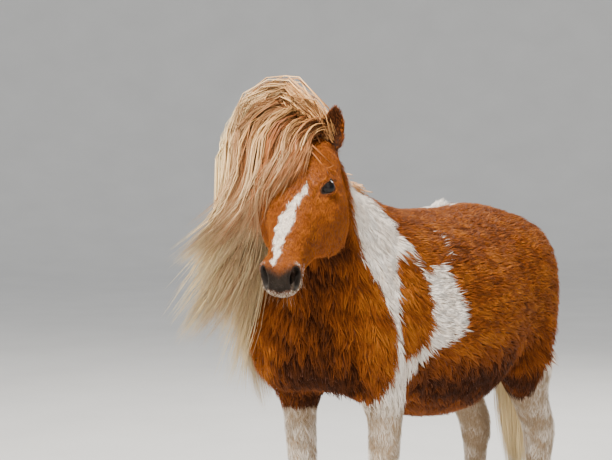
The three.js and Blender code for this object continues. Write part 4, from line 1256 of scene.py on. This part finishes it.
# share of the way from the left ear to the right, heading right and ahead, then as above
FORELOCK_FLOW = np.array([
    (0.00, 0.05, 1.0, 0.034, 0.020, 0.135, 0.045), (0.30, 0.1, 1.0, 0.044, 0.030, 0.185, 0.065),
    (0.65, 0.5, 0.9, 0.050, 0.048, 0.225, 0.075), (1.00, 1.0, 0.3, 0.066, 0.082, 0.250, 0.110),
])
CREST = np.array([
    (0, -0.094, 1.000), (0.006, -0.174, 1.052), (0.026, -0.264, 1.100), (0.060, -0.354, 1.146),
    (0.100, -0.434, 1.166),
])
TAIL_LINE = np.array([
    (0, 0.611, 0.888), (0, 0.656, 0.872), (-0.002, 0.677, 0.780), (-0.004, 0.677, 0.640),
    (-0.002, 0.673, 0.480), (0.006, 0.677, 0.330), (0.012, 0.683, 0.190),
])
POLL_SWAY = 0.034


def read(table, keys):
    """The rest of a table's columns at many values of its first."""
    return [np.interp(keys, table[:, 0], column) for column in table.T[1:]]


def along_line(corners, shares):
    """Points on a smooth curve through corners, at shares of the way from the first to the last."""
    spot = np.clip(shares, 0, 1) * (len(corners) - 1)
    start = np.minimum(spot.astype(int), len(corners) - 2)
    t = (spot - start)[..., None]
    before, after = corners[np.maximum(start - 1, 0)], corners[np.minimum(start + 2, len(corners) - 1)]
    low, high = corners[start], corners[start + 1]
    slope = (after - low) * t ** 2 * (t - 1) + (high - before) * t * (t - 1) ** 2
    return low + (high - low) * (t * t * (3 - 2 * t)) + slope / 2


def arches(roots, headings, half, height, fall, flick, steps):
    """Paths (strand, step, 3) over an arch and down."""
    s = steps[None]
    arch = np.minimum(s / ARCH_SHARE, 1) * math.pi
    tail = np.maximum((s - ARCH_SHARE) / (1 - ARCH_SHARE), 0)
    out = half[:, None] * (1 - np.cos(arch)) + flick[:, None] * tail ** FLICK_BEND
    drop = FALL_IN_ARCH * arch / math.pi + (1 - FALL_IN_ARCH) * tail
    rise = height[:, None] * np.sin(arch) - fall[:, None] * drop
    return roots[:, None] + headings[:, None] * out[:, :, None] + UP * rise[:, :, None]


def clear_of_skin(paths, clearance):
    """Slides the points of paths out until they lie clear of the skin."""
    flat = paths.reshape(-1, 3).copy()
    wanted = np.broadcast_to(clearance, paths.shape[:2]).ravel()
    for i, (point, gap) in enumerate(zip(flat, wanted)):
        spot, normal, _, away = skin_tree.find_nearest(Vector(point))
        off = (Vector(point) - spot).dot(normal)
        if away < 0.09 and off < gap:
            flat[i] = point + np.array(normal) * (gap - off)
    return flat.reshape(paths.shape)


print("hair lengths follow", len(MANE_FLOW) + len(FORELOCK_FLOW), "rows")

# %% Strand maker
STRAND_STEPS = np.array([0.0, 0.08, 0.16, 0.245, 0.33, 0.42, 0.54, 0.70, 0.86])
STRAND_TAPER = np.array([0.8, 1.0, 1.0, 1.0, 0.95, 0.95, 0.95, 0.88, 0.64])


def map_places_near(points):
    """The skin's map place nearest to each point."""
    faces = [skin_tree.find_nearest(Vector(point))[2] for point in points]
    return corner_places[faces].mean(axis=1)


def strands(name, paths, width, flats, **values):
    """Thin tapered solids along paths to their last points, each flat across the given direction."""
    ahead = unit(paths[:, 1:] - paths[:, :-1])
    flat = unit(flats[:, None] - ahead * (flats[:, None] * ahead).sum(axis=2, keepdims=True))
    crowns = np.cross(ahead, flat)
    widths = np.broadcast_to(width, len(paths))[:, None] * STRAND_TAPER[None, :ahead.shape[1]]
    map_places = map_places_near(paths[:, 0])
    return spikes(name, paths[:, :-1], widths, flat, crowns, paths[:, -1], map_places, values)


def lock_of(draw, paths, count, root_spread, tip_spread, wave):
    """Many strands for each leading path: spread at the root, closer at the tip, and wavy."""
    lead = np.repeat(paths, count, axis=0)
    total, steps = lead.shape[:2]
    s = np.linspace(0, 1, steps)[None, :, None]
    near = draw.normal(size=(total, 1, 3)) * root_spread
    far = draw.normal(size=(total, 1, 3)) * tip_spread
    turn = draw.uniform(0, 2 * math.pi, (total, 1, 1))
    swing = unit(draw.normal(size=(total, 1, 3))) * wave * draw.uniform(0.2, 1.0, (total, 1, 1))
    beat = draw.uniform(1.2, 2.4, (total, 1, 1))
    return lead + near * (1 - s) + far * s + swing * np.sin(turn + beat * s * 2 * math.pi) * s


print("strand steps:", len(STRAND_STEPS))

# %% [markdown]
# ## Mane and forelock
#
# Hair hangs in locks, not as single threads. Four hundred leading paths are drawn first, neighbours are
# pulled together into a few big hanks, and the wind carries some further out. Each path then gets sixteen
# fine strands that gather towards its tip. Broader strands lie under them, so no gap shows the skin.

# %% Values for the mane
MANE_LOCKS = 400
MANE_WIDTH = 0.0026
STRANDS_A_LOCK = 16
UNDER_WIDTH = 0.0080
UNDER_STRANDS = 3
HANKS = 19
HANK_PULL = 0.60
SWEPT = np.linspace(0, 1, 20)
WILD = {"share": 0.15, "more": 0.6}
RIGHT_EDGE = {"soft": -0.225, "hard": -0.262}
print("strands in the mane:", MANE_LOCKS * (STRANDS_A_LOCK + UNDER_STRANDS))

# %% Cutting and holding in


def shortened(paths, shares):
    """Paths with each cut at its own share of its length."""
    steps = np.append(STRAND_STEPS, 1.0)
    fine = np.linspace(0, 1, paths.shape[1])
    made = np.empty((len(paths), len(steps), 3))
    for i, share in enumerate(shares):
        for axis in range(3):
            made[i, :, axis] = np.interp(steps * share, fine, paths[i, :, axis])
    return made


def kept_in(paths):
    """Bends paths that stray too far to the pony's right back along a soft limit."""
    over = np.maximum(RIGHT_EDGE["soft"] - paths[..., 0], 0)
    room = RIGHT_EDGE["soft"] - RIGHT_EDGE["hard"]
    paths[..., 0] += over - room * np.tanh(over / room)
    return paths


print("room beyond the soft edge:", round(RIGHT_EDGE["soft"] - RIGHT_EDGE["hard"], 3))

# %% Leading paths
def held_off(leads, reach, lift):
    """Leading paths held clear of the skin, more so towards their ends and on the longer ones."""
    return clear_of_skin(leads, lift * (0.25 + reach[:, None] * SWEPT[None] ** 0.5))


def mane_leads(draw, count, lift):
    """Leading paths of the mane, the ways they are blown and how red each is. Hanks hang together."""
    nearer = count * 45 // 100
    t = np.append(draw.uniform(0.01, 0.70, count - nearer), draw.uniform(0.60, 0.995, nearer))
    t = np.sort(t)
    reach = 1.05 - 0.42 * draw.random(count) ** 1.5
    hank = np.clip((t * HANKS + 1.5 * reach + draw.normal(scale=0.3, size=count)).astype(int), 0, HANKS)
    drop = draw.uniform(0.94, 1.06, count) * draw.uniform(0.80, 1.12, HANKS + 1)[hank] * (1.17 - 0.2 * reach)
    ahead, half, height, fall, flick = read(MANE_FLOW, t)
    flick *= draw.uniform(0.6, 1.5, HANKS + 1)[hank]
    roots = along_line(CREST, t) + LEFT * (POLL_SWAY * ramp(t, 0.8, 1.0))[:, None]
    headings = unit(np.stack([-np.ones_like(t), -ahead, np.zeros_like(t)], axis=1))
    wild = 1 + WILD["more"] * (draw.random(count) < WILD["share"])
    leads = arches(roots, headings, half * reach, height * reach, fall * drop, flick * reach * wild, SWEPT)
    leads = lock_of(draw, leads, 1, 0.007, 0.012, 0.006)
    for number in np.unique(hank):
        together = leads[hank == number]
        pull = HANK_PULL * ramp(SWEPT, 0.50, 1.0)[None, :, None]
        leads[hank == number] = together + (together.mean(axis=0) - together) * pull
    red = draw.normal(0.08, 0.18, count) + 0.6 * ramp(t, 0.93, 1.0) + 0.4 * (1 - ramp(t, 0.10, 0.40))
    red += 0.4 * (1 - ramp(reach, 0.72, 0.92)) * ramp(t, 0.45, 0.60)
    red = np.clip(red, 0, 1)
    return held_off(leads, reach, lift), headings, red


def forelock_leads(draw, count, lift):
    """The same for the forelock."""
    q = np.sort(draw.uniform(0.08, 1, count))
    reach = 1.12 - 0.5 * draw.random(count) ** 1.2
    drop = draw.uniform(0.85, 1.10, count) * (1.15 - 0.2 * reach)
    right, ahead, half, height, fall, flick = read(FORELOCK_FLOW, q)
    roots = np.array([on_head(0.004, 0.036 - 0.060 * share, 0.006) for share in q])
    headings = unit(np.stack([-right, -ahead, np.zeros_like(q)], axis=1))
    leads = arches(roots, headings, half * reach, height * reach, fall * drop, flick * reach, SWEPT)
    leads = lock_of(draw, leads, 1, 0.006, 0.010, 0.005)
    red = np.clip(draw.normal(0.95, 0.20, count) - 0.3 * q ** 2, 0, 1)
    return held_off(leads, reach, lift), headings, red


print("points on a leading path:", len(SWEPT))

# %% Strands round the paths
def long_hair(name, draw, leads, headings, red, each, width, gather, shortest, paler):
    """Strands round each leading path as one mesh, a little paler or darker than usual."""
    paths = kept_in(lock_of(draw, leads, each, gather, gather * 0.45, gather * 0.6))
    made = shortened(paths, 1 - (1 - shortest) * draw.random(len(paths)) ** 1.6)
    flats = np.repeat(np.cross(np.broadcast_to(UP, headings.shape), headings), each, axis=0)
    # Outer locks are paler: partly their own bleached colour, partly painted light, with painted shade on the
    # inner ones
    outer = ramp(-leads[:, -1, 0], 0.02, 0.20)
    tone = np.repeat(draw.uniform(-0.05, 0.55, len(leads)) + 0.55 * outer + paler, each)
    tone += draw.normal(scale=0.14, size=len(made))
    widths = width * draw.uniform(0.6, 1.2, len(made))
    return strands(name, made, widths, flats, tone=np.clip(tone, 0, 1), red=np.repeat(red, each))


print("the finest strands are", MANE_WIDTH * 0.6, "wide")

# %% Grow the mane
draw = np.random.default_rng(41)
leads, headings, red = mane_leads(draw, MANE_LOCKS, 0.026)
mane = []
for number, part in enumerate(np.array_split(np.arange(MANE_LOCKS), 2)):
    mane.append(long_hair(f"mane_{number + 1}", draw, leads[part], headings[part], red[part],
                          STRANDS_A_LOCK, MANE_WIDTH, 0.0065, 0.78, 0.08))
# The under layer is darker, as painted shade between the locks
leads, headings, red = mane_leads(draw, MANE_LOCKS, 0.014)
mane.append(long_hair("mane_under", draw, leads, headings, red,
                      UNDER_STRANDS, UNDER_WIDTH, 0.011, 0.84, -0.12))
print("mane triangles:", sum(len(piece.data.polygons) for piece in mane))

# %% Grow the forelock
FORELOCK_LOCKS = 110

draw = np.random.default_rng(43)
leads, headings, red = forelock_leads(draw, FORELOCK_LOCKS, 0.018)
forelock = [long_hair("forelock", draw, leads, headings, red,
                      STRANDS_A_LOCK, MANE_WIDTH, 0.006, 0.72, -0.36)]
# The under layer is darker, as painted shade between the locks
leads, headings, red = forelock_leads(draw, FORELOCK_LOCKS, 0.008)
forelock.append(long_hair("forelock_under", draw, leads, headings, red,
                          UNDER_STRANDS, UNDER_WIDTH, 0.008, 0.66, -0.55))
print("forelock pieces:", len(forelock))

# %% [markdown]
# ## The tail
#
# The tail hangs from its fleshy dock in one thick fall, widest half way down and drawn in at the end.
# Strands set round one bent line, each following it at its own distance, give that shape at once, where
# the arches of the mane would only get in the way.

# %% Grow the tail
TAIL_STRANDS = 1300
TAIL_SPREAD = 0.052
TAIL_WIDTH = 0.0030

draw = np.random.default_rng(47)
steps = np.linspace(0, 1, 16)
angle = draw.uniform(0, 2 * math.pi, TAIL_STRANDS)
spread = TAIL_SPREAD * np.sqrt(draw.uniform(0.02, 1.0, TAIL_STRANDS))
bow = np.sin(math.pi * np.minimum(0.05 + steps * 0.87, 1)) ** 0.8
line = along_line(TAIL_LINE, steps)
around = np.stack([np.cos(angle), 0.7 * np.sin(angle), np.zeros_like(angle)], axis=1)
leads = line[None] + around[:, None] * (spread[:, None] * bow[None])[:, :, None]
leads = lock_of(draw, leads, 1, 0.003, 0.007, 0.006)
made = shortened(leads, draw.uniform(0.70, 0.97, TAIL_STRANDS))
flats = np.stack([-np.sin(angle), np.cos(angle), np.zeros_like(angle)], axis=1)
tone = np.clip(0.5 + 0.2 * np.sin(angle * 5) + draw.normal(scale=0.15, size=TAIL_STRANDS), 0, 1)
width = TAIL_WIDTH * draw.uniform(0.7, 1.2, TAIL_STRANDS)
tail = strands("tail_hair", made, width, flats, tone=tone, red=0)
print("tail strands:", len(made))

# %% [markdown]
# ## Feather, whiskers and lashes
#
# Feather is the long hair behind the fetlocks, which falls over the hooves. Its roots run up the back of
# each pastern, and no strand may reach below the floor. Whiskers and lashes are few, and are drawn as
# single strands, because the eye misses them at once on a face where they are left out.

# %% Feather on the fetlocks
FEATHER_STRANDS = 420
FEATHER_WIDTH = 0.0026
FEATHER_ROOTS = {"from": 0.066, "to": 0.168, "off_bone": 0.026}
LOWEST_HAIR = 0.002

draw = np.random.default_rng(53)
all_paths = []
all_flats = []
for hoof in LEGS.values():
    foot_x, foot_y = coronet(hoof)
    turn = draw.uniform(-1.9, 1.9, FEATHER_STRANDS) * draw.uniform(0.5, 1, FEATHER_STRANDS)
    out = np.stack([np.sin(turn), np.cos(turn), np.zeros_like(turn)], axis=1)
    height = draw.uniform(FEATHER_ROOTS["from"], FEATHER_ROOTS["to"], FEATHER_STRANDS)
    back = np.interp(height, [row[0] for row in PASTERN], [row[1] for row in PASTERN])
    middle = np.stack([np.full_like(turn, foot_x), foot_y + back, height], axis=1)
    fall = np.minimum(draw.uniform(0.06, 0.10, FEATHER_STRANDS), height - 0.012)
    flare = draw.uniform(0.012, 0.026, FEATHER_STRANDS)
    s = np.linspace(0, 1, 6)[None, :, None]
    path = (middle + out * FEATHER_ROOTS["off_bone"])[:, None]
    path = path + out[:, None] * flare[:, None, None] * np.sin(s * math.pi / 2)
    path = path - UP * fall[:, None, None] * s
    path = path + draw.normal(size=(FEATHER_STRANDS, 1, 3)) * 0.006 * s
    path[..., 2] = np.maximum(path[..., 2], LOWEST_HAIR)
    all_paths.append(path)
    all_flats.append(np.cross(np.broadcast_to(UP, out.shape), out))
paths = np.concatenate(all_paths)
flats = np.concatenate(all_flats)
width = FEATHER_WIDTH * draw.uniform(0.7, 1.2, len(paths))
tone = np.clip(0.55 + draw.normal(scale=0.15, size=len(paths)), 0, 1)
feather = strands("feather", paths, width, flats, tone=tone, white=1, dark=0)
feather.data.materials.append(fur.material)
print("feather strands:", len(paths))

# %% Whiskers
WHISKERS = 50
WHISKER = {"shortest": 0.008, "longest": 0.024, "width": 0.00032, "tone": -0.25}

draw = np.random.default_rng(59)
on_chin = scattered(((in_head(skin_points)[0] > 0.335) & (in_head(skin_points)[2] < -0.062)
                     & (head_share(skin_points) > 0.5)) * 1e6, 61)
chosen = draw.choice(len(on_chin[0]), WHISKERS, replace=False)
starts, outward = on_chin[0][chosen], on_chin[1][chosen]
droop = unit(outward + HEAD_DOWN * 0.3 - UP * 0.35 + draw.normal(scale=0.25, size=outward.shape))
s = np.linspace(0, 1, 5)[None, :, None]
reach = draw.uniform(WHISKER["shortest"], WHISKER["longest"], (WHISKERS, 1, 1))
whisker_paths = starts[:, None] + droop[:, None] * reach * s - UP * reach * 0.25 * s ** 2
whiskers = strands("whiskers", whisker_paths, WHISKER["width"], unit(np.cross(droop, UP)),
                   tone=WHISKER["tone"], white=1, dark=0)
print("whiskers:", WHISKERS)

# %% Lashes
LASHES = 22
LASH = {"width": 0.0005, "tone": 0.2, "root": 0.0215}

lash_paths = []
for side in (1, -1):
    out, inner, rise = eye_axes(side)
    along = np.linspace(-0.9, 0.35, LASHES)
    edge = np.sqrt(1 - along ** 2)
    across_lid = np.where(along[:, None] > 0, LID_INNER, LID_OUTER) * along[:, None] * inner
    outward = unit(out * EYE_RADIUS * 0.86 + across_lid + rise * LID_ABOVE * edge[:, None])
    foot = EYE[side] + outward * LASH["root"]
    reach = (0.006 + 0.003 * draw.random(LASHES))[:, None, None]
    lean = unit(out + 0.35 * rise + 0.5 * along[:, None] * inner + draw.normal(scale=0.12, size=(LASHES, 3)))
    lash_paths.append(foot[:, None] + lean[:, None] * reach * s - UP * reach * 0.35 * s * (1 - s) * 2)
lash_paths = np.concatenate(lash_paths)
lashes = strands("lashes", lash_paths, LASH["width"], np.broadcast_to(LEFT, (len(lash_paths), 3)),
                 tone=LASH["tone"], white=0, dark=1)
for piece in (whiskers, lashes):
    piece.data.materials.append(fur.material)
    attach(piece, "root")
print("lashes:", len(lash_paths))

# %% [markdown]
# ## The finish of the long hair
#
# The mane is flaxen with orange at the roots, because the sun bleaches the oldest hair most. Forelock,
# withers and the hair nearest the face have ginger in them, told by one more number on each strand. The
# tail is golden. One function makes both finishes from their own colours.

# %% Hair material
FLAXEN = [
    (0.0, (0.18, 0.050, 0.009)), (0.16, (0.48, 0.17, 0.038)), (0.36, (0.74, 0.36, 0.11)),
    (0.62, (0.90, 0.53, 0.20)), (1.0, (1.0, 0.82, 0.49)),
]
GINGER = [
    (0.0, (0.040, 0.011, 0.003)), (0.35, (0.13, 0.034, 0.008)), (0.70, (0.24, 0.075, 0.018)),
    (1.0, (0.38, 0.15, 0.048)),
]
GOLDEN = [(0.0, (0.36, 0.17, 0.045)), (0.5, (0.70, 0.44, 0.16)), (1.0, (0.90, 0.70, 0.38))]


def hair_finish(name, stops):
    made = Finish(name, Roughness=0.45, Specular_IOR_Level=0.30)
    tone = made.attribute("tone") * 0.45 + made.attribute("tip") ** 0.8 * 0.95
    tone = tone + made.noise(made.place(), 30.0) * 0.20 - 0.10
    coloured = made.between(made.ramp(tone, stops), made.ramp(tone, GINGER), made.attribute("red"))
    made.feed("Base Color", coloured)
    made.feed("Roughness", made.noise(made.place(), 80.0) * 0.2 + 0.36)
    return made.material


flaxen = hair_finish("flaxen_hair", FLAXEN)
golden = hair_finish("golden_hair", GOLDEN)
for piece in (*mane, *forelock):
    piece.data.materials.append(flaxen)
tail.data.materials.append(golden)
for piece in (*mane, *forelock, tail, feather):
    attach(piece, "root")
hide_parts("mane")
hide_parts("forelock")
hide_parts("tail")
print("long hair finished")

# %% [markdown]
# ## Eyes
#
# A horse's eye is a dark wet ball with a wide, flat pupil. The ball alone looks dead, so the cornea is
# raised a little in front of the iris, and a clear coat gives it the bright window of light.

# %% The shape of an eye
CORNEA_RISE = 0.0016
PUPIL = {"half_length": 0.0078, "half_height": 0.0042}
IRIS_RADIUS = 0.0125


def make_eye(side, name):
    centre = Vector(EYE[side])
    bpy.ops.object.select_all(action="DESELECT")
    bpy.ops.mesh.primitive_uv_sphere_add(segments=48, ring_count=32, radius=EYE_RADIUS, location=centre)
    ball = bpy.context.object
    ball.name = f"{name}_eyeball"
    bpy.ops.object.transform_apply(location=True, rotation=True, scale=True)
    points = points_of(ball)
    out, inner, rise = eye_axes(side)
    offset = points - EYE[side]
    front = ramp(offset @ out / EYE_RADIUS, 0.72, 1.0)
    move_points(ball, points + unit(offset) * (CORNEA_RISE * front)[:, None])
    pupil = np.hypot(offset @ inner / PUPIL["half_length"], offset @ rise / PUPIL["half_height"])
    iris = np.linalg.norm(offset - (offset @ out)[:, None] * out, axis=1) / IRIS_RADIUS
    store(ball, pupil=np.where(offset @ out > 0, pupil, 9), iris=np.where(offset @ out > 0, iris, 9))
    bpy.ops.object.shade_smooth()
    return ball


print("eye radius:", EYE_RADIUS)

# %% Eye material
wet = Finish("wet_eye", Roughness=0.3, Specular_IOR_Level=0.1, Coat_Weight=0.22, Coat_Roughness=0.04)
fibres = wet.noise(wet.place(), 900.0, 4.0)
iris_colour = wet.ramp(fibres, [(0.3, (0.003, 0.0015, 0.001)), (0.7, (0.009, 0.0045, 0.0025))])
black = wet.ramp(wet.attribute("pupil"), [(0.0, (1, 1, 1)), (0.96, (1, 1, 1)), (1.0, (0, 0, 0))])
# A ramp reads from 0 to 1, so the iris's edge, which is 1, is moved down near its middle
outside = wet.ramp(wet.attribute("iris") - 0.6, [(0.44, (0, 0, 0)), (0.56, (1, 1, 1))])
colour = wet.between(iris_colour, (0.002, 0.002, 0.003), black)
wet.feed("Base Color", wet.between(colour, (0.006, 0.004, 0.0035), outside))
for side, name in ((1, "left"), (-1, "right")):
    ball = make_eye(side, name)
    ball.data.materials.append(wet.material)
    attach(ball, "root")
    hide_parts(f"{name}_eye")
print("eyes done")

# %% [markdown]
# ## Hooves
#
# A hoof is a cone of horn that leans forward, flat below and ringed by growth lines. Each is drawn up
# ring by ring, then given soft edges.

# %% The shape of a hoof
# height, place behind the middle of the coronet, half width, half depth
HOOF_RINGS = [
    (0.0000, -0.029, 0.0490, 0.0500), (0.0015, -0.029, 0.0500, 0.0510), (0.0080, -0.027, 0.0492, 0.0505),
    (0.0160, -0.022, 0.0474, 0.0490), (0.0250, -0.016, 0.0452, 0.0473), (0.0340, -0.010, 0.0430, 0.0457),
    (0.0420, -0.005, 0.0412, 0.0443), (0.0460, -0.003, 0.0396, 0.0425), (0.0480, -0.002, 0.0360, 0.0385),
]
HOOF_SIDES = 40


def make_hoof(node):
    foot_x, foot_y = coronet(node)
    rings = [(foot_x, foot_y + back, z, half, deep) for z, back, half, deep in HOOF_RINGS]
    hoof = tube_through(rings, HOOF_SIDES)
    hoof.name = node + "_horn"
    finish_with(hoof, "BEVEL", width=0.0012, segments=2, limit_method="ANGLE", angle_limit=math.radians(50))
    select_only(hoof)
    bpy.ops.object.shade_smooth_by_angle(angle=math.radians(40))
    return hoof


print("hoof rings:", len(HOOF_RINGS))

# %% Horn material
horn = Finish("horn", Roughness=0.5)
rings_there = horn.node("ShaderNodeTexWave", {"bands_direction": "Z"}, {
    "Vector": horn.place(), "Scale": 70.0, "Distortion": 1.5, "Detail": 2.0})
streaks = horn.noise(horn.place((90, 90, 6)), 1.0, 4.0)
horn.feed("Base Color", horn.ramp(streaks * 0.7 + rings_there * 0.3, [
    (0.2, (0.075, 0.055, 0.040)), (0.5, (0.22, 0.17, 0.12)), (0.9, (0.42, 0.35, 0.27))]))
horn.feed("Roughness", streaks * 0.3 + 0.35)
horn.bump(rings_there * 0.7 + streaks * 0.3, 0.5, 0.0012)
for hoof in LEGS.values():
    made = make_hoof(hoof)
    made.data.materials.append(horn.material)
    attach(made, "root")
    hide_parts(hoof)
print("hooves done")

# %% [markdown]
# ## Measuring and finishing
#
# The last cell counts what was made and prints the box of the solids and that of the dressed pony, which
# should be nearly the same.

# %% Measure and finish
triangles_made = {"coat": sum(len(piece.data.polygons) for piece in coat),
                  "skin": len(skin.data.polygons),
                  "long hair": sum(len(piece.data.polygons) for piece in (*mane, *forelock, tail, feather))}
print(triangles_made)
size = {"cad": [list(corner) for corner in cad_box], "visual": [list(corner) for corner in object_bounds()]}
print(size)
